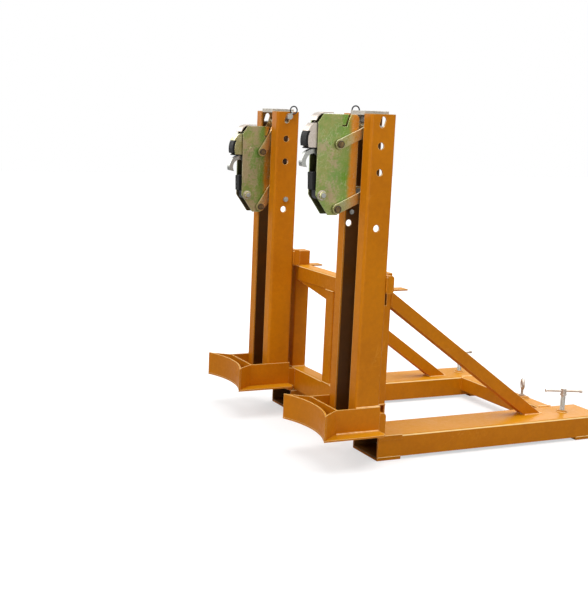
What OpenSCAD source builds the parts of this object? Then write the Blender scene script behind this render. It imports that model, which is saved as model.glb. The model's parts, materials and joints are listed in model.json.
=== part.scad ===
// Forklift attachment that grips and carries two drums side by side.
// X runs across the attachment, -Y is the drum side, +Y the truck side,
// Z is up. The shapes are drawn with Y = 0 at the front plane of the posts,
// X = 0 midway between them and Z = 0 under the fork pocket straps, and each
// part is then moved along Y so that the origin is the middle of the base.

/* [Posts] */
// distance between the centres of the two posts
post_spacing = 596; // [420:1:900]
// overall width of one post over its two channels
post_width = 162; // [140:1:220]
// depth of a channel
post_depth = 80; // [60:1:120]
// flange length of a channel
post_flange = 40; // [25:1:45]
// plate thickness of a channel
post_wall = 5; // [3:0.5:8]
// outside bend radius of a channel
post_bend = 8; // [4:0.5:12]
// height of the post top
post_top = 1005; // [800:1:1300]

/* [Post holes] */
// distance of the hole line behind the post front
hole_line = 35; // [25:0.5:50]
// diameter of the web holes
hole_dia = 20; // [10:0.5:24]
// height of the lowest web hole
hole_low = 690; // [600:1:720]
// height of the middle web hole
hole_mid = 845; // [820:1:880]
// height of the highest web hole
hole_high = 918; // [900:1:935]
// width of the slanted slot near the post top
slot_width = 17; // [16.5:0.5:20]
// distance of the lower slot end below the post top
slot_low_drop = 29; // [26:1:34]
// distance of the upper slot end behind the post front
slot_top_y = 39; // [37:0.5:46]
// distance of the upper slot end below the post top
slot_top_drop = 15; // [13:1:18]

/* [Fork pockets] */
// distance from the middle plane to a pocket centre
pocket_centre = 289; // [200:1:400]
// outside width of a pocket
pocket_width = 144; // [120:1:200]
// height of the pocket top
pocket_top = 76; // [60:1:110]
// plate thickness of a pocket
pocket_wall = 6; // [4:0.5:10]
// outside bend radius of a pocket
pocket_bend = 7; // [4:0.5:12]
// distance of the pocket front end behind the post front
pocket_front = 93; // [82:1:102]
// distance of the pocket rear end behind the post front
pocket_rear = 930; // [900:1:1300]
// thickness of the closing straps
strap_thick = 9; // [5:0.5:12]
// length of a closing strap along the fork
strap_length = 81; // [50:1:120]
// distance of the rear strap behind the post front
strap_rear_y = 830; // [760:1:845]

/* [Rear frame] */
// distance of the frame front plane behind the post front
frame_front = 104; // [98:1:112]
// side length of the square frame tube
tube_size = 50; // [40:1:54]
// wall of the frame tube
tube_wall = 4; // [2:0.5:6]
// height of the lower beam
low_beam_height = 75; // [50:1:90]
// height of the top of the middle beam
mid_beam_top = 501; // [440:1:520]
// height of the top of the rear verticals
rear_post_top = 548; // [525:1:600]
// width of the opening in the outer wall of a rear vertical
window_width = 20; // [10:1:30]
// height of that opening
window_height = 45; // [30:1:60]
// side length of the square brace tube
brace_size = 38; // [30:1:45]
// height where a brace top edge meets the rear vertical
brace_top = 494; // [420:1:500]
// distance of the brace toe behind the post front
brace_toe = 742; // [600:1:760]
// depth of the rear cross tube
cross_depth = 52; // [40:1:70]
// height of the rear cross tube
cross_height = 50; // [40:1:60]
// distance of the rear cross tube behind the post front
cross_front = 788; // [700:1:790]
// corner radius of a spacer block
spacer_round = 10; // [4:1:11]
// height of the upper spacer block
spacer_height = 52; // [40:1:60]
// height of the underside of the upper spacer block
spacer_low = 503; // [490:1:515]
// rearward length of a lug plate
lug_length = 55; // [30:1:90]
// thickness of a lug plate
lug_thick = 5; // [4:0.5:10]
// height of a haunch plate beside the centre vertical
haunch_height = 34; // [20:1:45]
// thickness of a haunch plate
haunch_thick = 6; // [4:0.5:8]
// height of the doubler strip on a pocket side
doubler_height = 16; // [12:1:24]
// thickness of the doubler strip
doubler_thick = 3; // [2:0.5:5]
// height of the doubler strip above the pocket top
doubler_rise = 2; // [0.5:0.5:4]

/* [Drum saddles] */
// height of the top face of a saddle floor
floor_top = 101; // [90:1:120]
// thickness of the saddle plates
saddle_plate = 5; // [3:0.5:8]
// half width of a saddle
saddle_half = 132; // [110:1:160]
// height of the saddle rim
saddle_top = 173; // [140:1:220]
// radius of the saddle cradle
cradle_radius = 297; // [280:1:310]
// distance of the deepest cradle line in front of the posts
cradle_gap = 94.5; // [80:0.5:100]
// reach of the side panels in front of the posts
panel_reach = 65; // [40:1:75]
// reach of the back plate in front of the posts
back_reach = 63; // [35:1:64]
// chamfer on the rear corners of a floor plate
floor_chamfer = 12; // [4:1:20]

/* [Parallel links] */
// distance between the two pivots of a link
link_length = 110; // [100:1:125]
// slope of the raised links
link_slope = 25; // [14:0.5:30]
// slope of the lowered links
link_slope_low = 57.2; // [40:0.1:59]
// distance of the post pivots behind the post front
link_y = 33.7; // [32:0.1:38]
// distance of the upper post pivot below the post top
link_drop = 39.5; // [38:0.5:44]
// height difference between the two links
link_pitch = 179; // [150:1:185]
// width of a link strap
strap_width = 28; // [22:1:32]
// thickness of a link strap
link_plate = 6; // [4:0.5:7]
// outside half width over the link straps
link_half = 34; // [32:0.5:36]
// radius of the pivot pins
pin_r = 8; // [6:0.5:9]
// radial clearance of a turning bore
bore_gap = 0.08; // [0.02:0.01:0.1]
// outside radius of a link hub
hub_r = 11; // [10.5:0.5:11.5]

/* [Clamp heads] */
// half width of a head over its side plates
head_half = 24.5; // [22:0.5:25]
// thickness of a head side plate
head_plate = 5; // [3:0.5:6]
// distance of the nose pin of a raised head in front of the posts
nose_front = 104; // [96:0.5:112]
// distance of the nose pin of a raised head below the post top
nose_drop = 78; // [74:0.5:82]
// reach of the side plates in front of the nose pin
plate_reach = 28.5; // [26:0.5:32]
// height of the side plates above the nose curve
plate_rise = 12; // [10:0.5:16]
// depth of the side plates below the nose pin
plate_drop = 204.5; // [200:0.5:208]
// rear edge of a raised head in front of the posts
head_rear = 5.5; // [4:0.5:12]
// distance from the rear edge to the slot in the plate top
notch_back = 25.5; // [20:0.5:32]
// width of that slot
notch_width = 7.5; // [6:0.5:10]
// depth of that slot
notch_depth = 33.5; // [25:0.5:38]
// thickness of the cover sheet
cover_sheet = 3; // [2:0.5:4]
// thickness of the beak
beak_thick = 20; // [14:1:26]
// outside radius of the beak hook
beak_r = 36.5; // [30:0.5:37]
// inside radius of the beak hook
beak_bore = 24; // [18:0.5:26]
// distance of the hook centre in front of the nose pin
hook_reach = 31; // [29:0.5:33]
// distance of the hook centre below the nose pin
hook_drop = 59; // [57:0.5:61]
// distance of the jaw bolt in front of the nose pin
jaw_reach = 9; // [6:0.5:12]
// distance of the jaw bolt below the nose pin
jaw_drop = 149; // [145:0.5:152]
// radius of the nose cheeks
nose_r = 55; // [50:0.5:55]
// outside half width of the nose
nose_half = 17.5; // [15:0.25:19]
// thickness of the band round the nose
band = 7; // [4:0.5:8]
// thickness of a nose cheek
cheek = 4; // [3:0.5:5]
// radius of the nose pin
nose_pin_r = 6; // [4:0.5:8]
// radius of the jaw bolt
jaw_bolt_r = 7; // [5:0.5:8]
// radius of the washers on the jaw bolt
washer_r = 14; // [12:0.5:16]
// thickness of the jaw pad
pad_thick = 12; // [8:0.5:14]

/* [Lock pins] */
// radius of a lock pin
lock_r = 8; // [6:0.5:9]
// radius of the pull ring at its wire centre
ring_r = 12; // [9:0.5:15]
// radius of the pull ring wire
ring_wire = 2.1; // [1.5:0.1:2.5]
// lean of the pull ring on the +X side
ring_lean_r = 14; // [0:1:45]
// lean of the pull ring on the -X side
ring_lean_l = 36; // [0:1:45]
// length of the head of a lock pin
pin_head = 12; // [10:1:16]
// height of the lug on a lock pin
pin_lug = 18; // [15:1:22]
// depth of the cap skirt below the post top
cap_skirt = 4; // [3:1:8]
// height of the lower end of the cap tongue
tongue_low = 770; // [720:1:820]
// width of the cap tongue
tongue_width = 40; // [30:1:46]
// height of the post cap above the post
cap_rise = 8; // [4:1:14]

/* [Fork screws] */
// distance of the screws behind the post front
screw_y = 826; // [800:1:880]
// radius of a screw
screw_r = 7; // [6:0.5:8]
// height of the handle bar
bar_z = 146; // [130:1:170]
// radius of the handle bar
bar_r = 4; // [3:0.5:6]
// length of the handle bar
bar_length = 120; // [90:1:160]
// direction of the handle bar on the +X side
bar_turn_r = 68; // [0:1:180]
// direction of the handle bar on the -X side
bar_turn_l = 103; // [0:1:180]
// distance of the stop bolts behind the post front
stop_line = 40; // [34:1:46]
// radius of the stop bolts
stop_r = 5; // [4:0.5:6]

/* [Eye bolt] */
// sideways position of the eye bolt
eye_x = 97; // [60:1:150]
// distance of the eye bolt behind the post front
eye_y = 814; // [805:1:825]
// radius of the eye at its wire centre
eye_r = 15; // [12:0.5:18]
// radius of the eye wire
eye_wire = 5; // [3:0.5:6]
// turn of the eye about its stem
eye_turn = -28; // [-90:1:90]

/* [Hidden] */
$fn = 96;
// set-back of straight flanks from the round ends that they join
flank = 0.2;
post_x = post_spacing / 2;
half = post_width / 2;
toe = half - post_flange;
pocket_in = pocket_centre - pocket_width / 2;
pocket_out = pocket_centre + pocket_width / 2;
frame_rear = frame_front + tube_size;
low_beam_top = pocket_top + low_beam_height;
link_up_z = post_top - link_drop;
link_low_z = link_up_z - link_pitch;
slot_top_z = post_top - slot_top_drop;
slot_low_z = post_top - slot_low_drop;
cradle_axis = cradle_gap + cradle_radius;
saddle_front = cradle_axis - sqrt(cradle_radius * cradle_radius - saddle_half * saddle_half);
head_pin_y = link_y - link_length * cos(link_slope);
head_up_z = link_up_z - link_length * sin(link_slope);
head_low_z = link_low_z - link_length * sin(link_slope);
drop_y = link_length * (cos(link_slope) - cos(link_slope_low));
drop_z = -link_length * (sin(link_slope_low) - sin(link_slope));
gap_half = head_half - head_plate;
nose_y = -nose_front;
nose_z = post_top - nose_drop;
head_top = nose_z + nose_r + band + plate_rise;
head_low = nose_z - plate_drop;
head_reach = nose_front + plate_reach;
hook_y = nose_y - hook_reach;
hook_z = nose_z - hook_drop;
jaw_y = nose_y - jaw_reach;
jaw_z = nose_z - jaw_drop;
brace_slope = atan((brace_top - pocket_top) / (brace_toe - frame_rear));
panel_outer = half + saddle_plate;
middle_y = (pocket_rear + hook_y - beak_r) / 2;
PAINT = [0.80, 0.45, 0.10];
ZINC = [0.72, 0.74, 0.52];
BRIGHT = [0.80, 0.80, 0.78];
BLACK = [0.06, 0.06, 0.06];
DARK = [0.15, 0.15, 0.16];

// ---- shared shapes ----

module box(x0, x1, y0, y1, z0, z1) {
  translate([x0, y0, z0]) cube([x1 - x0, y1 - y0, z1 - z0]);
}

// extrudes a flat drawing of Y and Z along X
module along_x(x0, x1) {
  translate([x0, 0, 0]) rotate([90, 0, 90]) linear_extrude(x1 - x0) children();
}

// extrudes a flat drawing of X and Z along Y
module along_y(y0, y1) {
  translate([0, y1, 0]) rotate([90, 0, 0]) linear_extrude(y1 - y0) children();
}

module placed() {
  translate([0, -middle_y, 0]) children();
}

module along_z(z0, z1) {
  translate([0, 0, z0]) linear_extrude(z1 - z0) children();
}

module rod_x(x0, x1, y, z, r) {
  translate([x0, y, z]) rotate([0, 90, 0]) cylinder(h = x1 - x0, r = r);
}

module rod_z(x, y, z0, z1, r) {
  translate([x, y, z0]) cylinder(h = z1 - z0, r = r);
}

module torus(ring, wire) {
  rotate_extrude() translate([ring, 0]) circle(r = wire);
}

// rectangle with rounded corners
module rounded(w, h, r) {
  translate([r, 0]) square([w - 2 * r, h]);
  translate([0, r]) square([w, h - 2 * r]);
  for (x = [r, w - r]) for (y = [r, h - r]) translate([x, y]) circle(r = r);
}

module tube_profile(w, h, wall, r) {
  difference() {
    rounded(w, h, r);
    translate([wall, wall]) square([w - 2 * wall, h - 2 * wall]);
  }
}

module mirrored() {
  mirror([1, 0, 0]) children();
}

// moves a head part from the raised to the lowered head
module lowered_head() {
  mirrored() translate([0, drop_y, drop_z]) children();
}

// turns a link from the raised to the lowered slope about its post pivot
module lowered_link(pivot_z) {
  mirrored() translate([0, link_y, pivot_z]) rotate([link_slope_low - link_slope, 0, 0])
    translate([0, -link_y, -pivot_z]) children();
}

// ---- fork pockets and rear frame ----

module pocket_shape() {
  inner = pocket_width - 2 * pocket_wall;
  along_y(pocket_front, pocket_rear) translate([pocket_in, 0]) difference() {
    union() {
      translate([0, strap_thick]) square([pocket_width, pocket_top - strap_thick - pocket_bend]);
      translate([pocket_bend, pocket_top - pocket_bend])
        square([pocket_width - 2 * pocket_bend, pocket_bend]);
      for (x = [pocket_bend, pocket_width - pocket_bend])
        translate([x, pocket_top - pocket_bend]) circle(r = pocket_bend);
    }
    translate([pocket_wall, -1]) square([inner, pocket_top - pocket_wall + 1]);
  }
}

module pocket_body() {
  difference() {
    pocket_shape();
    rod_z(pocket_centre, screw_y, pocket_top - pocket_wall - 1, pocket_top + 1, screw_r + 2);
  }
}

module pocket_r() { color(PAINT) placed() pocket_body(); }

module pocket_l() { color(PAINT) placed() mirrored() pocket_body(); }

module strap_pair(y0) {
  for (s = [0, 1]) mirror([s, 0, 0])
    box(pocket_in, pocket_out, y0, y0 + strap_length, 0, strap_thick);
}

// strips that stiffen the outer corner of each pocket mouth, notched under the spacer block
module doublers() {
  high = pocket_top + doubler_rise;
  rear = pocket_front + strap_length;
  for (s = [0, 1]) mirror([s, 0, 0]) along_x(pocket_out, pocket_out + doubler_thick) polygon([
    [pocket_front, high - doubler_height], [rear, high - doubler_height], [rear, high],
    [frame_front, high], [frame_front, pocket_top], [pocket_front, pocket_top]
  ]);
}

module straps_front() {
  color(PAINT) placed() {
    strap_pair(pocket_front);
    doublers();
  }
}

module straps_rear() { color(PAINT) placed() strap_pair(strap_rear_y); }

module rear_cross() {
  color(PAINT) placed() translate([-pocket_in, cross_front, pocket_top - cross_height])
    rotate([90, 0, 90]) linear_extrude(2 * pocket_in)
      tube_profile(cross_depth, cross_height, tube_wall, 4);
}

module low_beam() {
  color(PAINT) placed() translate([-pocket_centre, frame_front, pocket_top])
    rotate([90, 0, 90]) linear_extrude(2 * pocket_centre)
      tube_profile(tube_size, low_beam_height, tube_wall, 4);
}

module mid_beam() {
  reach = pocket_centre - tube_size;
  color(PAINT) placed() translate([-reach, frame_front, mid_beam_top - tube_size])
    rotate([90, 0, 90]) linear_extrude(2 * reach)
      tube_profile(tube_size, tube_size, tube_wall, 4);
}

// tapered plate under the middle beam on one side of the centre vertical
module haunch() {
  side = tube_size / 2;
  top = mid_beam_top - tube_size;
  y0 = frame_front + tube_wall + 2;
  along_y(y0, y0 + haunch_thick) polygon([
    [side - 1, top], [pocket_centre - tube_size, top], [side - 1, top - haunch_height]
  ]);
}

module centre_post() {
  color(PAINT) placed() union() {
    translate([-tube_size / 2, frame_front, low_beam_top])
      linear_extrude(mid_beam_top - tube_size - low_beam_top)
        tube_profile(tube_size, tube_size, tube_wall, 4);
    haunch();
    mirror([1, 0, 0]) haunch();
  }
}

module rear_post_body() {
  window_y = frame_front + 14;
  difference() {
    translate([pocket_centre - tube_size, frame_front, low_beam_top])
      linear_extrude(rear_post_top - low_beam_top)
        tube_profile(tube_size, tube_size, tube_wall, 4);
    box(pocket_centre - tube_wall - 1, pocket_centre + 1, window_y, window_y + window_width,
      mid_beam_top - 4 - window_height, mid_beam_top - 4);
  }
  box(pocket_centre - tube_size + tube_wall, pocket_centre - tube_wall, frame_front + tube_wall,
    frame_rear - tube_wall, rear_post_top - tube_wall, rear_post_top);
}

module rear_post_r() { color(PAINT) placed() rear_post_body(); }

module rear_post_l() { color(PAINT) placed() mirrored() rear_post_body(); }

// slanted tube, cut plumb at the rear vertical and level at the pocket
module brace_outline(inset) {
  drop = brace_size / cos(brace_slope);
  step = inset / cos(brace_slope);
  k = tan(brace_slope);
  high = brace_top - step;
  low = brace_top - drop + step;
  polygon([
    [frame_rear, high], [frame_rear + (high - pocket_top) / k, pocket_top],
    [frame_rear + (low - pocket_top) / k, pocket_top], [frame_rear, low]
  ]);
}

module brace_body() {
  difference() {
    along_x(pocket_centre - brace_size, pocket_centre) brace_outline(0);
    along_x(pocket_centre - brace_size + tube_wall, pocket_centre - tube_wall)
      brace_outline(tube_wall);
  }
}

module brace_r() { color(PAINT) placed() brace_body(); }

module brace_l() { color(PAINT) placed() mirrored() brace_body(); }

module spacer_body(z0, height) {
  depth = frame_front - post_depth;
  r = spacer_round;
  along_x(post_x - half, post_x + half) translate([post_depth, z0]) {
    square([depth - r, height]);
    translate([0, r]) square([depth, height - 2 * r]);
    for (z = [r, height - r]) translate([depth - r, z]) circle(r = r);
  }
}

module spacers_low() {
  color(PAINT) placed() for (s = [0, 1]) mirror([s, 0, 0]) spacer_body(pocket_top, low_beam_height);
}

module spacers_up() {
  color(PAINT) placed() for (s = [0, 1]) mirror([s, 0, 0]) spacer_body(spacer_low, spacer_height);
}

module lugs() {
  color(PAINT) placed() for (s = [0, 1]) mirror([s, 0, 0])
    box(pocket_centre - brace_size, pocket_centre, frame_rear, frame_rear + lug_length,
      brace_top, brace_top + lug_thick);
}

// ---- posts ----

module channel_profile() {
  r = post_bend;
  ri = post_bend - post_wall;
  difference() {
    union() {
      square([post_flange - r, post_depth]);
      translate([0, r]) square([post_flange, post_depth - 2 * r]);
      for (y = [r, post_depth - r]) translate([post_flange - r, y]) circle(r = r);
    }
    translate([-1, post_wall]) square([post_flange - r + 1, post_depth - 2 * post_wall]);
    translate([-1, r]) square([post_flange - post_wall + 1, post_depth - 2 * r]);
    for (y = [r, post_depth - r]) translate([post_flange - r, y]) circle(r = ri);
  }
}

module web_holes(x0, x1) {
  for (z = [hole_low, hole_mid, hole_high]) rod_x(x0, x1, hole_line, z, hole_dia / 2);
  run = slot_top_z - slot_low_z;
  side = slot_top_y - hole_line;
  length = sqrt(run * run + side * side);
  rod_x(x0, x1, hole_line, slot_low_z, slot_width / 2);
  rod_x(x0, x1, slot_top_y, slot_top_z, slot_width / 2);
  translate([0, hole_line, slot_low_z]) rotate([-atan(side / run), 0, 0])
    box(x0, x1, flank - slot_width / 2, slot_width / 2 - flank, 0, length);
}

module outer_channel() {
  difference() {
    along_z(floor_top, post_top) translate([post_x + toe, 0]) channel_profile();
    web_holes(post_x + half - post_wall - 1, post_x + half + 1);
  }
}

module inner_channel() {
  difference() {
    along_z(floor_top, post_top) translate([post_x - toe, 0]) mirror([1, 0]) channel_profile();
    rod_x(post_x - half - 1, post_x - half + post_wall + 1, stop_line, head_low, stop_r);
    web_holes(post_x - half - 1, post_x - half + post_wall + 1);
  }
}

module post_r_outer() { color(PAINT) placed() outer_channel(); }

module post_r_inner() { color(PAINT) placed() inner_channel(); }

module post_l_inner() { color(PAINT) placed() mirrored() inner_channel(); }

module post_l_outer() { color(PAINT) placed() mirrored() outer_channel(); }

// shallow cap between the flange toes with a side wall that holds the lock pin
module cap_body() {
  side = link_plate;
  low = post_top - cap_skirt;
  top = post_top + cap_rise;
  difference() {
    union() {
      difference() {
        box(post_x - toe, post_x + toe, 2, post_depth - 2, low, top);
        box(post_x - toe + side, post_x + toe - side, 6, post_depth - 6, low - 1, top - 4);
      }
      box(post_x - toe, post_x - toe + side, slot_top_y - lock_r - 6, slot_top_y + lock_r + 6,
        slot_top_z - lock_r - 3, low + 2);
    }
    rod_x(post_x - toe - 1, post_x + toe - side - 1, slot_top_y, slot_top_z, lock_r + bore_gap);
  }
}

// flat bar that hangs from the rear wall of a cap
module cap_tongue() {
  box(post_x - tongue_width * 0.75, post_x + tongue_width * 0.25, post_depth - 7, post_depth - 3,
    tongue_low, post_top - cap_skirt + 3);
}

module cap_r() {
  color(ZINC) placed() union() {
    cap_body();
    cap_tongue();
  }
}

module cap_l() {
  color(ZINC) placed() union() {
    mirrored() cap_body();
    translate([-post_spacing, 0, 0]) cap_tongue();
  }
}

// one through pin for the upper link and two studs for the lower link
module post_pin_side() {
  web = half - post_wall;
  inner = link_half - link_plate;
  rod_x(post_x - web, post_x + web, link_y, link_up_z, pin_r);
  rod_x(post_x - web, post_x - inner, link_y, link_low_z, pin_r);
  rod_x(post_x + inner, post_x + web, link_y, link_low_z, pin_r);
  for (z = [link_low_z, link_up_z], s = [-1, 1]) translate([post_x + s * (link_half + 4), 0, 0])
    rod_x(-3, 3, link_y, z, pin_r + 2);
}

module stop_bolt_side() {
  x0 = post_x - half + post_wall;
  x1 = x0 - post_wall;
  rod_x(x0, x0 + stop_r + 1, stop_line, head_low, stop_r + 2);
  rod_x(x1 - stop_r - 2, x0, stop_line, head_low, stop_r);
  rod_x(x1 - stop_r - 1, x1, stop_line, head_low, stop_r + 3);
}

module stop_bolts() {
  color(BRIGHT) placed() for (s = [0, 1]) mirror([s, 0, 0]) stop_bolt_side();
}

module post_pins() {
  color(BRIGHT) placed() for (s = [0, 1]) mirror([s, 0, 0]) post_pin_side();
}

// ---- drum saddles ----

module floor_body() {
  front = saddle_front;
  c = floor_chamfer;
  along_z(floor_top - saddle_plate, floor_top) translate([post_x, 0]) difference() {
    polygon([
      [-saddle_half, -front], [saddle_half, -front], [saddle_half, post_depth - c],
      [saddle_half - c, post_depth], [c - saddle_half, post_depth], [-saddle_half, post_depth - c]
    ]);
    translate([0, -cradle_axis]) circle(r = cradle_radius, $fn = 360);
  }
}

module floor_r() { color(PAINT) placed() floor_body(); }

module floor_l() { color(PAINT) placed() mirrored() floor_body(); }

module cradle_body() {
  along_z(floor_top, saddle_top) translate([post_x, 0]) intersection() {
    translate([0, -cradle_axis]) difference() {
      circle(r = cradle_radius + saddle_plate, $fn = 360);
      circle(r = cradle_radius, $fn = 360);
    }
    translate([-saddle_half, -cradle_radius]) square([2 * saddle_half, cradle_radius]);
  }
}

module cradle_r() { color(PAINT) placed() cradle_body(); }

module cradle_l() { color(PAINT) placed() mirrored() cradle_body(); }

module panel_side() {
  t = saddle_plate;
  difference() {
    polygon([
      [half, post_depth], [panel_outer, post_depth], [panel_outer, -panel_reach],
      [saddle_half, -saddle_front], [saddle_half - t - 1, -saddle_front],
      [half, -panel_reach + 2]
    ]);
    translate([0, -cradle_axis]) circle(r = cradle_radius + t, $fn = 360);
  }
}

module panels_body() {
  along_z(floor_top, saddle_top) translate([post_x, 0]) {
    panel_side();
    mirror([1, 0]) panel_side();
    translate([-half, -back_reach]) square([post_width, saddle_plate]);
  }
}

module panels_r() { color(PAINT) placed() panels_body(); }

module panels_l() { color(PAINT) placed() mirrored() panels_body(); }

// ---- parallel links ----

module link_straps(pivot_z) {
  far_y = link_y - link_length * cos(link_slope);
  far_z = pivot_z - link_length * sin(link_slope);
  inner = link_half - link_plate;
  for (s = [-1, 1]) translate([post_x + s * (inner + link_plate / 2), 0, 0])
    along_x(-link_plate / 2, link_plate / 2) difference() {
      union() {
        translate([link_y, pivot_z]) circle(r = strap_width / 2);
        translate([far_y, far_z]) circle(r = strap_width / 2);
        translate([link_y, pivot_z]) rotate(link_slope)
          translate([-link_length, flank - strap_width / 2])
            square([link_length, strap_width - 2 * flank]);
      }
      translate([link_y, pivot_z]) circle(r = pin_r + bore_gap);
      translate([far_y, far_z]) circle(r = pin_r + bore_gap);
    }
}

// hub tube between the two straps of an upper link
module link_hub() {
  inner = link_half - link_plate;
  along_x(post_x - inner, post_x + inner) translate([link_y, link_up_z]) difference() {
    circle(r = hub_r);
    circle(r = pin_r + bore_gap);
  }
}

module link_up_body() {
  link_straps(link_up_z);
  link_hub();
}

module link_up_r() { color(ZINC) placed() link_up_body(); }

module link_low_r() { color(ZINC) placed() link_straps(link_low_z); }

module link_up_l() { color(ZINC) placed() lowered_link(link_up_z) link_up_body(); }

module link_low_l() { color(ZINC) placed() lowered_link(link_low_z) link_straps(link_low_z); }

// ---- clamp heads ----

module head_outline() {
  f = -head_reach;
  r = -head_rear;
  n = r - notch_back;
  w = notch_width;
  b = head_top - notch_depth;
  polygon([
    [f + 2, head_low + 55], [f, head_top - 23], [f + 16, head_top], [n - w, head_top],
    [n - w - 10, b + 4], [n - w - 20, b + 4], [n - w - 20, b], [n - 13, b], [n, head_top],
    [r - 8, head_top], [r, head_top - 8], [r, head_low + 53], [r - 57, head_low], [f + 42, head_low]
  ]);
}

module head_plates_body() {
  difference() {
    for (s = [-1, 1]) translate([post_x + s * (head_half - head_plate / 2), 0, 0])
      along_x(-head_plate / 2, head_plate / 2) head_outline();
    for (z = [head_up_z, head_low_z]) rod_x(post_x - 40, post_x + 40, head_pin_y, z, pin_r);
    rod_x(post_x - 40, post_x + 40, nose_y, nose_z, nose_pin_r);
    rod_x(post_x - 40, post_x + 40, jaw_y, jaw_z, jaw_bolt_r);
  }
}

module head_plates_r() { color(ZINC) placed() head_plates_body(); }

module head_plates_l() { color(ZINC) placed() lowered_head() head_plates_body(); }

// bent sheet that stands proud of the side plates at the front, and a rear web between them
module head_cover_body() {
  c = cover_sheet;
  k = c * 0.4;
  along_x(post_x - gap_half, post_x + gap_half) {
    translate([nose_y, head_top]) polygon([
      [-35.3, -18.3], [-29.5, -7], [-21, 1], [-9, 3 + k], [6, 3.6 + k], [20, 3.6 + k],
      [20, 3.6 + k - c], [6, 3.6 + k - c], [-8.4, 3 + k - c], [-19.4, 1 - c],
      [-27.3, -7 - c * 0.7], [-32.7, -18.3 - c * 0.45]
    ]);
    translate([-head_rear - 34, head_low + 60]) square([c, 90]);
  }
}

module head_cover_r() { color(ZINC) placed() head_cover_body(); }

module head_cover_l() { color(ZINC) placed() lowered_head() head_cover_body(); }

module head_pins_body() {
  for (z = [head_up_z, head_low_z]) {
    rod_x(post_x - link_half - 5, post_x + link_half + 5, head_pin_y, z, pin_r);
    for (s = [-1, 1]) translate([post_x + s * (head_half + 1.6), 0, 0])
      rod_x(-1.6, 1.6, head_pin_y, z, pin_r + 3);
    for (s = [-1, 1]) translate([post_x + s * (link_half + 2.5), 0, 0])
      rod_x(-1.5, 1.5, head_pin_y, z, pin_r + 2.5);
  }
  rod_x(post_x - head_half - 1, post_x + head_half + 1, nose_y, nose_z, nose_pin_r);
  rod_x(post_x - head_half - 13, post_x + head_half + 13, jaw_y, jaw_z, jaw_bolt_r);
  for (s = [-1, 1]) translate([post_x + s * (head_half + 2), 0, 0])
    rod_x(-2, 2, jaw_y, jaw_z, washer_r);
  for (s = [-1, 1]) translate([post_x + s * (head_half + 7), 0, 0])
    rod_x(-3, 3, jaw_y, jaw_z, jaw_bolt_r + 3);
}

module head_pins_r() { color(BRIGHT) placed() head_pins_body(); }

module head_pins_l() { color(BRIGHT) placed() lowered_head() head_pins_body(); }

// hook that reaches over a drum rim, with the arm up to the nose pin
module beak_outline() {
  difference() {
    union() {
      translate([hook_y, hook_z]) circle(r = beak_r);
      translate([nose_y, nose_z]) circle(r = 14);
      polygon([
        [nose_y - 13, nose_z], [nose_y + 13, nose_z], [hook_y + beak_r - 1, hook_z - 6],
        [hook_y + 20, hook_z - 6]
      ]);
    }
    translate([hook_y, hook_z]) circle(r = beak_bore);
    translate([nose_y, nose_z]) circle(r = nose_pin_r + bore_gap);
    polygon([
      [hook_y - 45, hook_z - 9], [hook_y - 20, hook_z - 14], [hook_y + 15, hook_z - 10],
      [hook_y + 45, hook_z - 8], [hook_y + 45, hook_z - 40], [hook_y - 45, hook_z - 40]
    ]);
  }
}

module beak_body() {
  along_x(post_x - beak_thick / 2, post_x + beak_thick / 2) beak_outline();
  for (s = [-1, 1]) translate([post_x + s * (nose_half - cheek + beak_thick / 2) / 2, 0, 0])
    along_x(-(nose_half - cheek - beak_thick / 2) / 2, (nose_half - cheek - beak_thick / 2) / 2)
      translate([nose_y, nose_z]) difference() {
        circle(r = 12);
        circle(r = nose_pin_r + bore_gap);
      }
}

module beak_r_body() { color(BRIGHT) placed() beak_body(); }

module beak_l_body() { color(BRIGHT) placed() lowered_head() beak_body(); }

// part of a disc round the nose pin between two heights
module nose_sector(r, z0, z1) {
  intersection() {
    translate([nose_y, nose_z]) circle(r = r);
    translate([nose_y - 70, z0]) square([82, z1 - z0]);
  }
}

// part of the band in front of the cheeks between two heights
module nose_band(z0, z1) {
  intersection() {
    translate([nose_y, nose_z]) difference() {
      circle(r = nose_r + band);
      circle(r = nose_r);
    }
    translate([nose_y - 70, z0]) square([60, z1 - z0]);
  }
}

module nose_body() {
  for (s = [-1, 1]) translate([post_x + s * (nose_half - cheek / 2), 0, 0])
    along_x(-cheek / 2, cheek / 2) difference() {
      nose_sector(nose_r, nose_z - 19, nose_z + 60);
      translate([nose_y, nose_z]) circle(r = nose_pin_r + bore_gap);
    }
  along_x(post_x - nose_half, post_x + nose_half) nose_band(nose_z + 26, nose_z + 48);
}

module nose_r_body() { color(ZINC) placed() nose_body(); }

module nose_l_body() { color(ZINC) placed() lowered_head() nose_body(); }

module nose_rubber_body() {
  along_x(post_x - nose_half, post_x + nose_half) {
    nose_band(nose_z - 15, nose_z + 26);
    translate([nose_y - 55, nose_z - 22]) square([37, 3]);
  }
}

module nose_rubber_r() { color(BLACK) placed() nose_rubber_body(); }

module nose_rubber_l() { color(BLACK) placed() lowered_head() nose_rubber_body(); }

module jaw_body() {
  difference() {
    along_x(post_x - 12, post_x + 12) {
      translate([jaw_y, jaw_z]) circle(r = 13);
      polygon([
        [jaw_y - 13, jaw_z], [jaw_y + 12, jaw_z], [jaw_y + 5, jaw_z + 60], [jaw_y - 15, jaw_z + 60]
      ]);
    }
    rod_x(post_x - 30, post_x + 30, jaw_y, jaw_z, jaw_bolt_r + bore_gap);
  }
}

module jaw_r() { color(DARK) placed() jaw_body(); }

module jaw_l() { color(DARK) placed() lowered_head() jaw_body(); }

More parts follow.
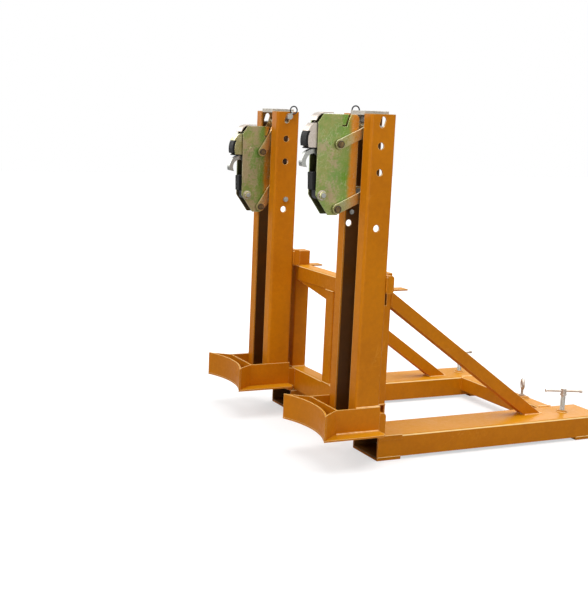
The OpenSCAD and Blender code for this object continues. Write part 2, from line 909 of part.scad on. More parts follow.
module jaw_pad_body() {
  low = jaw_z + 14;
  high = jaw_z + 60;
  k = 2 / 60;
  along_x(post_x - 15, post_x + 15) polygon([
    [jaw_y - 13 - 14 * k, low], [jaw_y - 15, high], [jaw_y - 15, high + 4],
    [jaw_y - 15 - pad_thick, high + 2], [jaw_y - 13 - pad_thick, low]
  ]);
}

module jaw_pad_r() { color(BLACK) placed() jaw_pad_body(); }

module jaw_pad_l() { color(BLACK) placed() lowered_head() jaw_pad_body(); }

// ---- lock pins ----

module lean(a) {
  translate([0, slot_top_y, slot_top_z]) rotate([-a, 0, 0]) translate([0, -slot_top_y, -slot_top_z])
    children();
}

module lock_pin_body(a) {
  x0 = post_x - half;
  x1 = x0 - pin_head - 2;
  eye = pin_lug - 5;
  rod_x(x0 - 2, post_x - toe + link_plate + 4, slot_top_y, slot_top_z, lock_r);
  rod_x(x1, x0 - 2, slot_top_y, slot_top_z, lock_r + 1.5);
  lean(a) difference() {
    box(x1 + 1, x0 - 3, slot_top_y - 2, slot_top_y + 2, slot_top_z, slot_top_z + pin_lug);
    translate([(x1 + x0) / 2 - 1, slot_top_y - 5, slot_top_z + eye]) rotate([-90, 0, 0])
      cylinder(h = 10, r = ring_wire + 1.2);
  }
}

module lock_pin_r() { color(BRIGHT) placed() lock_pin_body(ring_lean_r); }

module lock_pin_l() { color(BRIGHT) placed() mirrored() lock_pin_body(ring_lean_l); }

module pull_ring_body(a) {
  x = post_x - half - pin_head / 2 - 2;
  lean(a) translate([x, slot_top_y, slot_top_z + pin_lug - 5 + ring_r])
    rotate([0, 90, 0]) torus(ring_r, ring_wire);
}

module pull_ring_r() { color(DARK) placed() pull_ring_body(ring_lean_r); }

module pull_ring_l() { color(DARK) placed() mirrored() pull_ring_body(ring_lean_l); }

// ---- fork screws and eye bolt ----

module bosses() {
  color(PAINT) placed() for (s = [-1, 1]) difference() {
    rod_z(s * pocket_centre, screw_y, pocket_top, pocket_top + 6, screw_r + 8);
    rod_z(s * pocket_centre, screw_y, pocket_top - 1, pocket_top + 7, screw_r + bore_gap);
  }
}

module screw_body(turn) {
  difference() {
    union() {
      rod_z(0, 0, pocket_top - 14, bar_z - 10, screw_r);
      rod_z(0, 0, pocket_top - 20, pocket_top - 14, screw_r - 2);
      rod_z(0, 0, bar_z - 14, bar_z - 10, screw_r + 4);
      rod_z(0, 0, bar_z - 10, bar_z + bar_r + 3, bar_r + 5);
    }
    rotate([0, 0, turn]) rod_x(-40, 40, 0, bar_z, bar_r + bore_gap);
  }
}

module screw_r_body() { color(BRIGHT) placed() translate([pocket_centre, screw_y, 0]) screw_body(bar_turn_r); }

module screw_l_body() { color(BRIGHT) placed() translate([-pocket_centre, screw_y, 0]) screw_body(bar_turn_l); }

module bar_body(turn) {
  rotate([0, 0, turn]) {
    rod_x(-bar_length / 2, bar_length / 2, 0, bar_z, bar_r);
    rod_x(bar_length / 2 - 7, bar_length / 2, 0, bar_z, bar_r + 1.5);
    rod_x(-bar_length / 2, 4 - bar_length / 2, 0, bar_z, bar_r + 1);
  }
}

module bar_r_body() { color(BRIGHT) placed() translate([pocket_centre, screw_y, 0]) bar_body(bar_turn_r); }

module bar_l_body() { color(BRIGHT) placed() translate([-pocket_centre, screw_y, 0]) bar_body(bar_turn_l); }

module eye_plate() {
  color(PAINT) placed() difference() {
    box(eye_x - 17, eye_x + 17, eye_y - 17, eye_y + 17, pocket_top, pocket_top + 6);
    rod_z(eye_x, eye_y, pocket_top - 1, pocket_top + 7, eye_wire + 0.5);
  }
}

module eye_bolt() {
  centre = pocket_top + 47;
  color(BRIGHT) placed() translate([eye_x, eye_y, 0]) {
    rod_z(0, 0, pocket_top, centre - eye_r, eye_wire - 1);
    rod_z(0, 0, pocket_top + 6, pocket_top + 12, eye_wire + 4);
    translate([0, 0, centre]) rotate([0, 0, eye_turn]) rotate([90, 0, 0]) torus(eye_r, eye_wire);
  }
}

pocket_r();
pocket_l();
straps_front();
straps_rear();
rear_cross();
low_beam();
mid_beam();
centre_post();
rear_post_r();
rear_post_l();
brace_r();
brace_l();
spacers_low();
spacers_up();
post_r_outer();
post_r_inner();
post_l_inner();
post_l_outer();
lugs();
floor_r();
floor_l();
cradle_r();
cradle_l();
panels_r();
panels_l();
cap_r();
cap_l();
post_pins();
stop_bolts();
bosses();
eye_plate();
eye_bolt();
link_up_r();
link_low_r();
head_plates_r();
head_cover_r();
head_pins_r();
beak_r_body();
nose_r_body();
nose_rubber_r();
jaw_r();
jaw_pad_r();
lock_pin_r();
pull_ring_r();
link_up_l();
link_low_l();
head_plates_l();
head_cover_l();
head_pins_l();
beak_l_body();
nose_l_body();
nose_rubber_l();
jaw_l();
jaw_pad_l();
lock_pin_l();
pull_ring_l();
screw_r_body();
screw_l_body();
bar_r_body();
bar_l_body();
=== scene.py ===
# %% [markdown]
# A drum clamp for a forklift: two fork pockets, two upright posts and two clamp heads on parallel
# links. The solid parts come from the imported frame. This lesson gives them rounded edges, welds,
# threads and finishes, and sets up the camera and the light.

import json
import math
from collections import namedtuple

import bmesh
import bpy
import numpy as np
from mathutils import Matrix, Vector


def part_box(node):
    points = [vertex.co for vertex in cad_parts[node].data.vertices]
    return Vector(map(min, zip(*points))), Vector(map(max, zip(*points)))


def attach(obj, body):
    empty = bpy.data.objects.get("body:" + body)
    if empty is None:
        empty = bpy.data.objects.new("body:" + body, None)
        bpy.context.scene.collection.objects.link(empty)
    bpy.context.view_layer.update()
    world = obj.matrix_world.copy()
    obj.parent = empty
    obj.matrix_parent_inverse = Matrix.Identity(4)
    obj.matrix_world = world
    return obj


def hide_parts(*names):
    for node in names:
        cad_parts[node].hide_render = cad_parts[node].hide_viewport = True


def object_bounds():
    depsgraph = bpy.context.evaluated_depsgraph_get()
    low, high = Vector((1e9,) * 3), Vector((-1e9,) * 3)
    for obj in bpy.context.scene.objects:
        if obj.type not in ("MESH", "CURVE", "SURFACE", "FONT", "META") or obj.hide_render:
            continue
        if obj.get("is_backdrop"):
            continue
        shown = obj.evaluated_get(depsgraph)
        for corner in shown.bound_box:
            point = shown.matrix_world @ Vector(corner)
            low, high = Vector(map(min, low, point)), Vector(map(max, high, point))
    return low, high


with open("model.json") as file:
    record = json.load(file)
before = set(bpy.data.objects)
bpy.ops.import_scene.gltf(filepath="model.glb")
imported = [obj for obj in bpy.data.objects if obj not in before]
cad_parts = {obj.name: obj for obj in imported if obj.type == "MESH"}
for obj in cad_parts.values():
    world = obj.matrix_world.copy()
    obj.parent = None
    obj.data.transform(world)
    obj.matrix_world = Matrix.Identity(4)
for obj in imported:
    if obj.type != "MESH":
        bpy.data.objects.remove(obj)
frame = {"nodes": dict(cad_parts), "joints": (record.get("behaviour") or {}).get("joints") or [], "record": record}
cad_low, cad_high = (list(c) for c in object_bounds())
MM = 0.001
cad_size = [round(high - low, 3) for low, high in zip(cad_low, cad_high)]
print("nodes:", len(frame["nodes"]), "size of the solids:", cad_size)

# %% [markdown]
# Much of what follows sits on the solids: the grime, the welds, the threads and the nuts. Their places
# could be typed in, but then they would stay behind when a solid changes. So they are worked out from
# the solids' own boxes and hinges. The six limits of a box get names here, which reads better than
# corners and numbers.

# %% Boxes and hinges of the solids
Box = namedtuple("Box", "left front bottom right back top")


def box(name):
    """The limits of a solid in metres: left and right along X, front and back along Y, bottom and top
    along Z."""
    low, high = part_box(name)
    return Box(*low, *high)


pivot = {j["name"]: np.array(j["pos_m"]) for j in frame["joints"] if j["type"] == "hinge"}
post_in, post_out, pocket = box("post_r_inner"), box("post_r_outer"), box("pocket_r")
head, strap = box("head_plates_r"), box("link_up_r")
POST_FRONT, POST_BACK = post_in.front, post_in.back
POST_X = (post_in.left + post_out.right) / 2
HEAD_HALF, LINK_HALF = (head.right - head.left) / 2, (strap.right - strap.left) / 2
LINK_PITCH = pivot["upper_link_r"][2] - pivot["lower_link_r"][2]
print("middle of a post:", round(POST_X, 4), "m, links apart:", round(LINK_PITCH, 4), "m")

# %% [markdown]
# The camera stands about three metres away, in front of the clamp's right side and a little above the
# middle of the posts. A camera can be turned by hand until the view fits, but here the real sizes of
# the posts and the pockets are known. Its place, turn and lens were worked out from those, because
# then every edge falls where it should. A small lens shift keeps the framing without more tilt.

# %% Camera
IMAGE_W, IMAGE_H = 588, 590
LONG_SIDE = max(IMAGE_W, IMAGE_H)
FOCAL_PX = 1100.73
CENTRE_PX = (236.9, 318.0)
SENSOR_WIDTH = 36.0
NEAREST, FARTHEST = 0.05, 60.0
CAMERA_AT = (3.03569, -1.55729 + POST_FRONT, 0.98959)
YAW, PITCH, ROLL = (math.radians(a) for a in (66.13, 10.46, 2.01))


def camera_turn(yaw, pitch, roll):
    """Columns are right, up and backward: the look direction is turned by yaw about Z from +Y,
    tipped down by pitch, and the right and up vectors are then turned by roll about it."""
    ahead = np.array([-math.sin(yaw) * math.cos(pitch), math.cos(yaw) * math.cos(pitch), -math.sin(pitch)])
    right = np.array([math.cos(yaw), math.sin(yaw), 0.0])
    up = np.cross(right, ahead)
    side = math.cos(roll) * right + math.sin(roll) * up
    top = -math.sin(roll) * right + math.cos(roll) * up
    return np.column_stack([side, top, -ahead])


def placed(turn, at):
    """The 4 x 4 matrix with the given axes as its first three columns and the place as its last."""
    matrix = np.eye(4)
    matrix[:3, :3] = turn
    matrix[:3, 3] = at
    return Matrix(matrix.tolist())


camera = bpy.data.objects.new("camera", bpy.data.cameras.new("camera"))
bpy.context.scene.collection.objects.link(camera)
camera.data.sensor_width = SENSOR_WIDTH
camera.data.lens = FOCAL_PX * SENSOR_WIDTH / LONG_SIDE
camera.data.shift_x = (IMAGE_W / 2 - CENTRE_PX[0]) / LONG_SIDE
camera.data.shift_y = (CENTRE_PX[1] - IMAGE_H / 2) / LONG_SIDE
camera.data.clip_start, camera.data.clip_end = NEAREST, FARTHEST
camera.matrix_world = placed(camera_turn(YAW, PITCH, ROLL), CAMERA_AT)
bpy.context.scene.camera = camera
bpy.context.scene.view_settings.view_transform = "Standard"
print("lens:", round(camera.data.lens, 2), "mm")

# %% [markdown]
# Every finish below is built from small steps. Nodes can be placed by hand in the editor, but a script
# can give each step a name. The first helper adds a node, sets its inputs, and links an input when it
# is given another node's output. The others are the steps that come back in several finishes.


# %% Node helpers
def node(tree, kind, inputs=None, **settings):
    """Adds a node. A key of inputs is the name or number of a socket. Its value is set on the socket,
    or linked to it when the value is another node's output."""
    n = tree.nodes.new(kind)
    for key, value in settings.items():
        setattr(n, key, value)
    for key, value in (inputs or {}).items():
        if isinstance(value, bpy.types.NodeSocket):
            tree.links.new(value, n.inputs[key])
        else:
            n.inputs[key].default_value = value
    return n


def feed(tree, sockets, **values):
    """Links each value to the socket of its name, with Base_Color standing for Base Color."""
    for key, value in values.items():
        tree.links.new(value, sockets[key.replace("_", " ")])


def maths(tree, operation, a, b=0.5, clamp=False):
    """One step of arithmetic with a and b. Clamp keeps the result between 0 and 1."""
    return node(tree, "ShaderNodeMath", {0: a, 1: b}, operation=operation, use_clamp=clamp).outputs[0]


def times(tree, a, b):
    """a multiplied by b."""
    return maths(tree, "MULTIPLY", a, b)


def flipped(tree, mask):
    """One minus the mask."""
    return maths(tree, "SUBTRACT", 1.0, mask)


def vectors(tree, operation, a, b):
    """One step of vector arithmetic with a and b."""
    return node(tree, "ShaderNodeVectorMath", {0: a, 1: b}, operation=operation).outputs


def split(tree, vector):
    """The X, Y and Z of a vector."""
    return node(tree, "ShaderNodeSeparateXYZ", {0: vector}).outputs


def here(tree):
    """The place of each point on its object, in metres."""
    return node(tree, "ShaderNodeTexCoord").outputs["Object"]


def true_normal(tree):
    """The direction in which each point of the surface faces."""
    return node(tree, "ShaderNodeNewGeometry").outputs["Normal"]


def steps(tree, value, low, high):
    """0 below low, 1 above high, a smooth S between."""
    return node(tree, "ShaderNodeMapRange", {0: value, 1: low, 2: high, 3: 0.0, 4: 1.0},
                interpolation_type="SMOOTHSTEP").outputs[0]


def spread(tree, value, first, last, low=0.0, high=1.0):
    """The first figure up to low, the last figure from high on, and a straight line between."""
    return node(tree, "ShaderNodeMapRange", {0: value, 1: low, 2: high, 3: first, 4: last}).outputs[0]


def noise(tree, vector, scale, detail, seed=None):
    """Cloudy noise around 0.5. With a seed it has a fourth coordinate, which is the seed, so that two
    masks of one scale don't fall on each other."""
    inputs = {"Vector": vector, "Scale": scale, "Detail": detail}
    if seed is None:
        return node(tree, "ShaderNodeTexNoise", inputs).outputs["Fac"]
    return node(tree, "ShaderNodeTexNoise", inputs | {"W": seed}, noise_dimensions="4D").outputs["Fac"]


def colour_mix(tree, mask, a, b):
    """Colour a where the mask is 0 and colour b where it is 1."""
    return node(tree, "ShaderNodeMix", {0: mask, 6: a, 7: b}, data_type="RGBA").outputs[2]


def layer(tree, base, mask, colour, share):
    """Lays a colour over the base by the mask times the share, and never by more than the whole."""
    return colour_mix(tree, maths(tree, "MULTIPLY", mask, share, clamp=True), base, colour)


print("node helpers:", [f.__name__ for f in (node, feed, maths, times, flipped, vectors, split, here,
                                            true_normal, steps, spread, noise, colour_mix, layer)])

# %% [markdown]
# The paint, the plating and the rubber share some effects: rubbed edges with painted highlights,
# blotches, scratches, painted shade in enclosed places and a fine texture. Each could be copied into
# every material. A node group is built once and placed with its own values instead, so that a better
# edge makes every finish better.


# %% Group helpers
FLOAT, VECTOR = "NodeSocketFloat", "NodeSocketVector"


def group(name, inputs, outputs):
    """A new node group with the given sockets. Returns its tree, what it is given and what it makes."""
    tree = bpy.data.node_groups.new(name, "ShaderNodeTree")
    for label, kind, default in inputs:
        tree.interface.new_socket(label, in_out="INPUT", socket_type=kind).default_value = default
    for label, kind in outputs:
        tree.interface.new_socket(label, in_out="OUTPUT", socket_type=kind)
    return tree, tree.nodes.new("NodeGroupInput").outputs, tree.nodes.new("NodeGroupOutput").inputs


def use(tree, effect, **inputs):
    """Places a group in a tree, with Patch_scale standing for its socket Patch scale."""
    named = {key.replace("_", " "): value for key, value in inputs.items()}
    return node(tree, "ShaderNodeGroup", named, node_tree=effect).outputs


print("group sockets:", FLOAT, VECTOR)

# %% [markdown]
# Paint and plating wear first along edges. Such a mask could be painted by hand, or taken from how
# pointed the mesh is, but the solids have few and large triangles. The Bevel node needs no more of
# them: it returns the normal that a rounded edge would have, so the angle between it and the true
# normal is large only near an edge. Noise breaks the line up, as knocks and rubbing do. Edges that
# face upwards are struck most often and also catch the lamps above, so the mask is strongest where
# that rounded normal points up: the edge mask is partly wear and partly painted highlight. A folded
# corner is already round in the mesh, so the Bevel node finds nothing there. A second mask, the
# glints, picks the part of the fold that faces obliquely up and lays a painted highlight there, the
# catch-light of a rounded bend.

# %% Worn edges and painted highlights
BENT, BROKEN = (0.02, 0.22), (0.38, 0.62)
OBLIQUE_FROM, OBLIQUE_TO = (0.16, 0.32), (0.66, 0.76)

edge_wear_and_glint, given, made = group(
    "edge wear and glint", [("Radius", FLOAT, 0.002), ("Patch scale", FLOAT, 60.0), ("Amount", FLOAT, 0.5)],
    [("Mask", FLOAT), ("Folds", FLOAT)])
tree = edge_wear_and_glint
rounded_normal = node(tree, "ShaderNodeBevel", {"Radius": given["Radius"]}, samples=6).outputs[0]
surface_normal = true_normal(tree)
bent = flipped(tree, vectors(tree, "DOT_PRODUCT", rounded_normal, surface_normal)["Value"])
knocks = noise(tree, here(tree), given["Patch scale"], detail=4.0)
more_knocks = maths(tree, "ADD", knocks, maths(tree, "SUBTRACT", given["Amount"], 0.5))
broken = steps(tree, more_knocks, *BROKEN)
struck = times(tree, steps(tree, bent, *BENT), broken)
# Painted highlight in part: edges that face up get a stronger mask, as if lit from above.
upward_wear_and_glint = spread(tree, split(tree, rounded_normal)[2], 0.3, 1.0, low=-0.2, high=0.5)
rise = split(tree, surface_normal)[2]
# Painted highlight: the obliquely upward part of a fold is marked as a catch-light.
oblique_fold_glint = times(tree, steps(tree, rise, *OBLIQUE_FROM), flipped(tree, steps(tree, rise, *OBLIQUE_TO)))
feed(tree, made, Mask=times(tree, struck, upward_wear_and_glint), Folds=times(tree, oblique_fold_glint, broken))
print("edge wear and glint:", len(tree.nodes), "nodes")

# %% [markdown]
# Broad patches of tone keep a large painted face from looking like plastic. One noise alone looks like
# a cloud, so a second one with nine times finer patches is mixed in, and the sum is stretched to the
# full range.

# %% Patches
FINER = 9.0
PATCH_EDGE = (0.32, 0.68)

patches, given, made = group(
    "patches", [("Scale", FLOAT, 4.0), ("Fine", FLOAT, 0.3), ("Seed", FLOAT, 0.0)], [("Mask", FLOAT)])
tree = patches
broad = noise(tree, here(tree), given["Scale"], detail=3.0, seed=given["Seed"])
small = noise(tree, here(tree), times(tree, given["Scale"], FINER), detail=5.0, seed=given["Seed"])
both = node(tree, "ShaderNodeMix", {0: given["Fine"], 2: broad, 3: small}).outputs[0]
feed(tree, made, Mask=steps(tree, both, *PATCH_EDGE))
print("patches:", len(tree.nodes), "nodes")

# %% [markdown]
# Scratches are long, thin and few. Lines could be drawn one by one, but a noise has thin lines of its
# own, where it passes through one half. Stretched along one direction, those lines become scratches.
# Two directions cross each other, and a coarse noise leaves them only here and there.

# %% Scratches
SCRATCH_TURNS = ((0.3, 0.2, 0.9), (1.2, -0.4, 0.1))
SCRATCH_WIDTH = 0.012
PLACES_SCALE, PLACES_EDGE = 9.0, (0.5, 0.68)

scratches, given, made = group(
    "scratches", [("Scale", FLOAT, 30.0), ("Stretch", FLOAT, 14.0), ("Amount", FLOAT, 0.5)],
    [("Mask", FLOAT)])
tree = scratches
lines = []
for turn in SCRATCH_TURNS:
    turned = node(tree, "ShaderNodeMapping", {"Vector": here(tree), "Rotation": turn}).outputs[0]
    across = vectors(tree, "MULTIPLY", turned, (1.0, 1.0, 0.0))[0]
    slow = maths(tree, "DIVIDE", split(tree, turned)[2], given["Stretch"])
    along = node(tree, "ShaderNodeCombineXYZ", {"Z": slow}).outputs[0]
    stretched = noise(tree, vectors(tree, "ADD", across, along)[0], given["Scale"], detail=2.0)
    off_line = maths(tree, "ABSOLUTE", maths(tree, "SUBTRACT", stretched, 0.5))
    lines.append(flipped(tree, steps(tree, off_line, 0.0, SCRATCH_WIDTH)))
some = noise(tree, here(tree), PLACES_SCALE, detail=2.0)
more = maths(tree, "ADD", some, maths(tree, "SUBTRACT", given["Amount"], 0.5))
feed(tree, made, Mask=times(tree, maths(tree, "MAXIMUM", *lines), steps(tree, more, *PLACES_EDGE)))
print("scratches:", len(tree.nodes), "nodes")

# %% [markdown]
# Little light reaches into a channel or a pocket, and that shade is painted into the colour. Occlusion
# could find such places, but it costs render time and also darkens every corner. The insides are
# plain boxes here, so a box mask finds them. X is taken without its sign, because both sides of the
# clamp are alike.

# %% Enclosed places
enclosed, given, made = group(
    "enclosed", [("Low", VECTOR, (0.0, 0.0, 0.0)), ("High", VECTOR, (0.0, 0.0, 0.0))], [("Mask", FLOAT)])
tree = enclosed
at = split(tree, here(tree))
folded = node(tree, "ShaderNodeCombineXYZ", {"X": maths(tree, "ABSOLUTE", at[0]), "Y": at[1], "Z": at[2]})
above = vectors(tree, "SUBTRACT", folded.outputs[0], given["Low"])[0]
below = vectors(tree, "SUBTRACT", given["High"], folded.outputs[0])[0]
margins = split(tree, vectors(tree, "MINIMUM", above, below)[0])
least = maths(tree, "MINIMUM", margins[0], maths(tree, "MINIMUM", margins[1], margins[2]))
feed(tree, made, Mask=maths(tree, "GREATER_THAN", least, 0.0))
print("enclosed places:", len(tree.nodes), "nodes")

# %% [markdown]
# Sprayed paint, rolled plate and moulded rubber are never quite smooth. Real dents would need a very
# fine mesh, so a Bump node tilts the normal only. It says how rough the skin is, not what shape it has.

# %% Relief
relief, given, made = group(
    "relief", [("Scale", FLOAT, 300.0), ("Strength", FLOAT, 0.1), ("Distance", FLOAT, 0.0004)],
    [("Normal", VECTOR)])
tree = relief
grain = noise(tree, here(tree), given["Scale"], detail=3.0)
bump = node(tree, "ShaderNodeBump",
            {"Height": grain, "Strength": given["Strength"], "Distance": given["Distance"]})
feed(tree, made, Normal=bump.outputs[0])
print("shared effects:", [g.name for g in bpy.data.node_groups])


# %% [markdown]
# A finish starts as a Principled shader with its plain values on its own sockets. Colours are written
# as they look on a screen, so they are first turned into linear light.


# %% Finish helper
def screen(r, g, b):
    """Linear value of a screen colour: c / 12.92 when dark, else ((c + 0.055) / 1.055) to the
    power 2.4."""
    c = np.array([r, g, b]) / 255.0
    linear = np.where(c <= 0.04045, c / 12.92, ((c + 0.055) / 1.055) ** 2.4)
    return (*linear, 1.0)


def finish(name, **values):
    """A new material with one Principled shader. Returns the material, its tree and the shader's
    sockets."""
    material = bpy.data.materials.new(name)
    material.use_nodes = True
    tree = material.node_tree
    tree.nodes.clear()
    shader = tree.nodes.new("ShaderNodeBsdfPrincipled")
    output = tree.nodes.new("ShaderNodeOutputMaterial")
    tree.links.new(shader.outputs[0], output.inputs[0])
    for key, value in values.items():
        shader.inputs[key.replace("_", " ")].default_value = value
    return material, tree, shader.inputs


print("white on a screen is", screen(255, 255, 255))

# %% [markdown]
# The frame has a semi-gloss orange coat. It is thick enough to show a fine orange-peel texture, and
# has light rubs where loads have touched it. A pale line runs along every edge and fold: partly the
# coat worn thin, partly painted highlight where the edges catch the light. Faces that look up are
# painted a yellower orange, as painted light from above, undersides were sprayed thin and stay dull,
# and the insides of posts and pockets are painted dark brown as shade. One flat orange would be
# quicker, but these changes are what tells steel plate from plastic.

# %% Orange paint
DEEP_ORANGE, PLAIN_ORANGE = screen(194, 114, 8), screen(208, 126, 6)
DIRTY_ORANGE, RUBBED_ORANGE, LIT_TOP_ORANGE = screen(160, 90, 10), screen(232, 168, 70), screen(208, 142, 14)
PALE_RIM, INNER_SHADE = screen(255, 226, 158), screen(92, 68, 40)
LOOKS_UP = (0.7, 0.98)

paint, tree, sockets = finish("orange_paint", Specular_IOR_Level=0.1, Coat_Roughness=0.14)
tone = use(tree, patches, Scale=3.5, Fine=0.35)["Mask"]
dirt = use(tree, patches, Scale=11.0, Fine=0.6, Seed=4.0)["Mask"]
rims = use(tree, edge_wear_and_glint, Radius=0.003, Patch_scale=30.0, Amount=0.86)
# The pale rim below is partly wear and partly painted highlight on edges and folds.
wear_and_glint = maths(tree, "MAXIMUM", rims["Mask"], rims["Folds"])
rub = use(tree, scratches, Scale=26.0, Stretch=18.0, Amount=0.42)["Mask"]
facing_up = split(tree, true_normal(tree))[2]
coat = colour_mix(tree, tone, DEEP_ORANGE, PLAIN_ORANGE)
coat = layer(tree, coat, dirt, DIRTY_ORANGE, share=0.25)
coat = layer(tree, coat, rub, RUBBED_ORANGE, share=0.25)
# Painted light: faces that look up take a lighter, yellower orange.
coat = layer(tree, coat, steps(tree, facing_up, *LOOKS_UP), LIT_TOP_ORANGE, share=0.75)
coat = layer(tree, coat, wear_and_glint, PALE_RIM, share=0.92)
print("orange paint:", len(tree.nodes), "nodes before the painted shade")

# %% [markdown]
# The walls of the posts are 5 mm thick and those of the pockets 6 mm. The places painted with shade
# are boxes that lie a little less than a wall within the outer faces, so that the inner faces are just
# in them. Along the channels the boxes reach well past the ends.

# %% Painted shade inside the posts and pockets
POST_SKIN, POCKET_SKIN = 0.0046, 0.0056
POST_REACH, POCKET_REACH = (0.01, 1.1), (-0.6, 0.7)
POCKET_FLOOR = 0.005
UNDERSIDE = (-0.6, -0.2)

in_posts = use(tree, enclosed, Low=(post_in.left + POST_SKIN, POST_FRONT + POST_SKIN, POST_REACH[0]),
               High=(post_out.right - POST_SKIN, POST_BACK - POST_SKIN, POST_REACH[1]))["Mask"]
in_pockets = use(tree, enclosed, Low=(pocket.left + POCKET_SKIN, POCKET_REACH[0], POCKET_FLOOR),
                 High=(pocket.right - POCKET_SKIN, POCKET_REACH[1], pocket.top - POCKET_SKIN))["Mask"]
# Painted shade: inside the posts and pockets the colour turns dark brown.
shaded_inside = times(tree, maths(tree, "MAXIMUM", in_posts, in_pockets), spread(tree, tone, 0.72, 0.9))
outward = steps(tree, facing_up, *UNDERSIDE)
feed(tree, sockets, Base_Color=colour_mix(tree, shaded_inside, coat, INNER_SHADE),
     Roughness=maths(tree, "MAXIMUM", spread(tree, dirt, 0.36, 0.52), flipped(tree, outward)),
     Coat_Weight=times(tree, outward, 0.06),
     Normal=use(tree, relief, Scale=420.0, Strength=0.25, Distance=0.00025)["Normal"])
print("orange paint:", len(tree.nodes), "nodes")

# %% [markdown]
# The clamp heads are zinc plated and passivated. That film is only a few hundred nanometres thick, so
# its colour drifts from straw yellow through green to pink across one plate. A thin-film shader can
# work such colours out, but it can't say where the bath left them. So the drift is laid on as it looks:
# clouds of green and pink lie over olive, and along Y the film turns vivid green. At the rear edge a
# gold band is painted reflection of the orange post beside the plate. The head at the far side is
# pinker, and its bands lie a little deeper.

# %% Yellow zinc
OLIVE_FILM, GREEN_FILM, PINK_FILM = screen(150, 148, 84), screen(98, 142, 58), screen(184, 148, 130)
VIVID_FILM, POST_REFLECTION_GOLD = screen(92, 144, 26), screen(208, 134, 8)
VIVID_FROM, POST_REFLECTION_FROM = (-0.446, -0.424), (-0.418, -0.402)
CLOUDS = ((16.0, 31.0), (18.0, 35.0), (24.0, 23.0))
PINK_EDGE = (0.55, 1.0)
FAR_SHIFT, WAVES = 0.02, 0.008

zinc, tree, sockets = finish("yellow_zinc", Metallic=0.72)
at = split(tree, here(tree))
far_side = maths(tree, "LESS_THAN", at[0], 0.0)
depth = maths(tree, "SUBTRACT", at[1], times(tree, far_side, FAR_SHIFT))
green, pink, drift = (use(tree, patches, Scale=scale, Fine=0.35, Seed=seed)["Mask"]
                      for scale, seed in CLOUDS)
film = colour_mix(tree, green, OLIVE_FILM, GREEN_FILM)
pinker = maths(tree, "ADD", pink, times(tree, far_side, 0.3))
film = layer(tree, film, steps(tree, pinker, *PINK_EDGE), PINK_FILM, share=0.6)
wavy = maths(tree, "ADD", depth, times(tree, maths(tree, "SUBTRACT", drift, 0.5), WAVES))
vivid = times(tree, steps(tree, wavy, *VIVID_FROM), spread(tree, drift, 0.3, 0.95))
film = colour_mix(tree, vivid, film, VIVID_FILM)
# Painted reflection: the rear band of each head plate is gold, as the orange post shows in it.
film = colour_mix(tree, steps(tree, wavy, *POST_REFLECTION_FROM), film, POST_REFLECTION_GOLD)
print("yellow zinc:", len(tree.nodes), "nodes before the wear")

# %% [markdown]
# Handling leaves a pale haze, the rolling mill left fine lines, and the edges are rubbed to bare zinc
# and painted pale as highlight where they catch the light. Between the head plates, which are 4 mm
# thick, the faces are painted dark as shade. The same box mask finds that place. Along Y and Z the
# box goes round both heads.

# %% Wear, painted highlights and painted shade on the yellow zinc
HAZE, ROLLED_LINE, BARE_AND_LIT_RIM, SHADE_BETWEEN_PLATES = (
    screen(186, 180, 140), screen(214, 206, 168), screen(255, 246, 200), screen(56, 50, 28))
PLATE_SKIN = 0.0041
HEADS_FROM, HEADS_TO = (-1.0, 0.0), (0.0, 1.1)

wear_and_glint = use(tree, edge_wear_and_glint, Radius=0.0021, Patch_scale=70.0, Amount=0.9)["Mask"]
haze = use(tree, patches, Scale=22.0, Fine=0.5, Seed=2.0)["Mask"]
rolled = use(tree, scratches, Scale=60.0, Stretch=9.0, Amount=0.62)["Mask"]
between = use(tree, enclosed, Low=(head.left + PLATE_SKIN, *HEADS_FROM),
              High=(head.right - PLATE_SKIN, *HEADS_TO))["Mask"]
plate = layer(tree, film, haze, HAZE, share=0.2)
plate = layer(tree, plate, rolled, ROLLED_LINE, share=0.3)
# Partly painted highlight: the pale rim follows the edge mask, which is strongest on upward edges.
plate = layer(tree, plate, wear_and_glint, BARE_AND_LIT_RIM, share=1.7)
# Painted shade: the faces between the two head plates are darkened.
plate = layer(tree, plate, between, SHADE_BETWEEN_PLATES, share=0.85)
feed(tree, sockets, Base_Color=plate, Roughness=spread(tree, haze, 0.34, 0.52),
     Normal=use(tree, relief, Scale=180.0, Strength=0.2, Distance=0.0003)["Normal"])
print("yellow zinc:", len(tree.nodes), "nodes")

# %% [markdown]
# The link straps came from another bath: their film is thin and straw coloured, and almost silver
# where hands and the head plates polish it. Their edges are painted near white, partly as that polish
# and partly as painted highlight, and so are the faces that look up, as painted highlight alone. It
# could be the same material with other colours, but the straps need no clouds, so they have a
# shorter recipe of their own. The pins' cut ends have no film at all and are brown with rust.

# %% Straw zinc and rusty pin ends
PALE_STRAW, DEEP_STRAW = screen(142, 138, 66), screen(190, 142, 48)
STRAW_BLOT, POLISH_AND_HIGHLIGHT = screen(206, 202, 168), screen(255, 250, 220)
DEEP_STRAW_FROM = (-0.43, -0.40)
RUST_DARK, RUST_LIGHT = screen(70, 54, 32), screen(138, 112, 66)

straw, tree, sockets = finish("straw_zinc", Metallic=0.82)
blot = use(tree, patches, Scale=34.0, Fine=0.45, Seed=11.0)["Mask"]
depth = split(tree, here(tree))[1]
lit_top = steps(tree, split(tree, true_normal(tree))[2], 0.5, 0.9)
rubbed = use(tree, edge_wear_and_glint, Radius=0.0026, Patch_scale=60.0, Amount=0.95)["Mask"]
film = colour_mix(tree, steps(tree, depth, *DEEP_STRAW_FROM), PALE_STRAW, DEEP_STRAW)
film = layer(tree, film, blot, STRAW_BLOT, share=0.65)
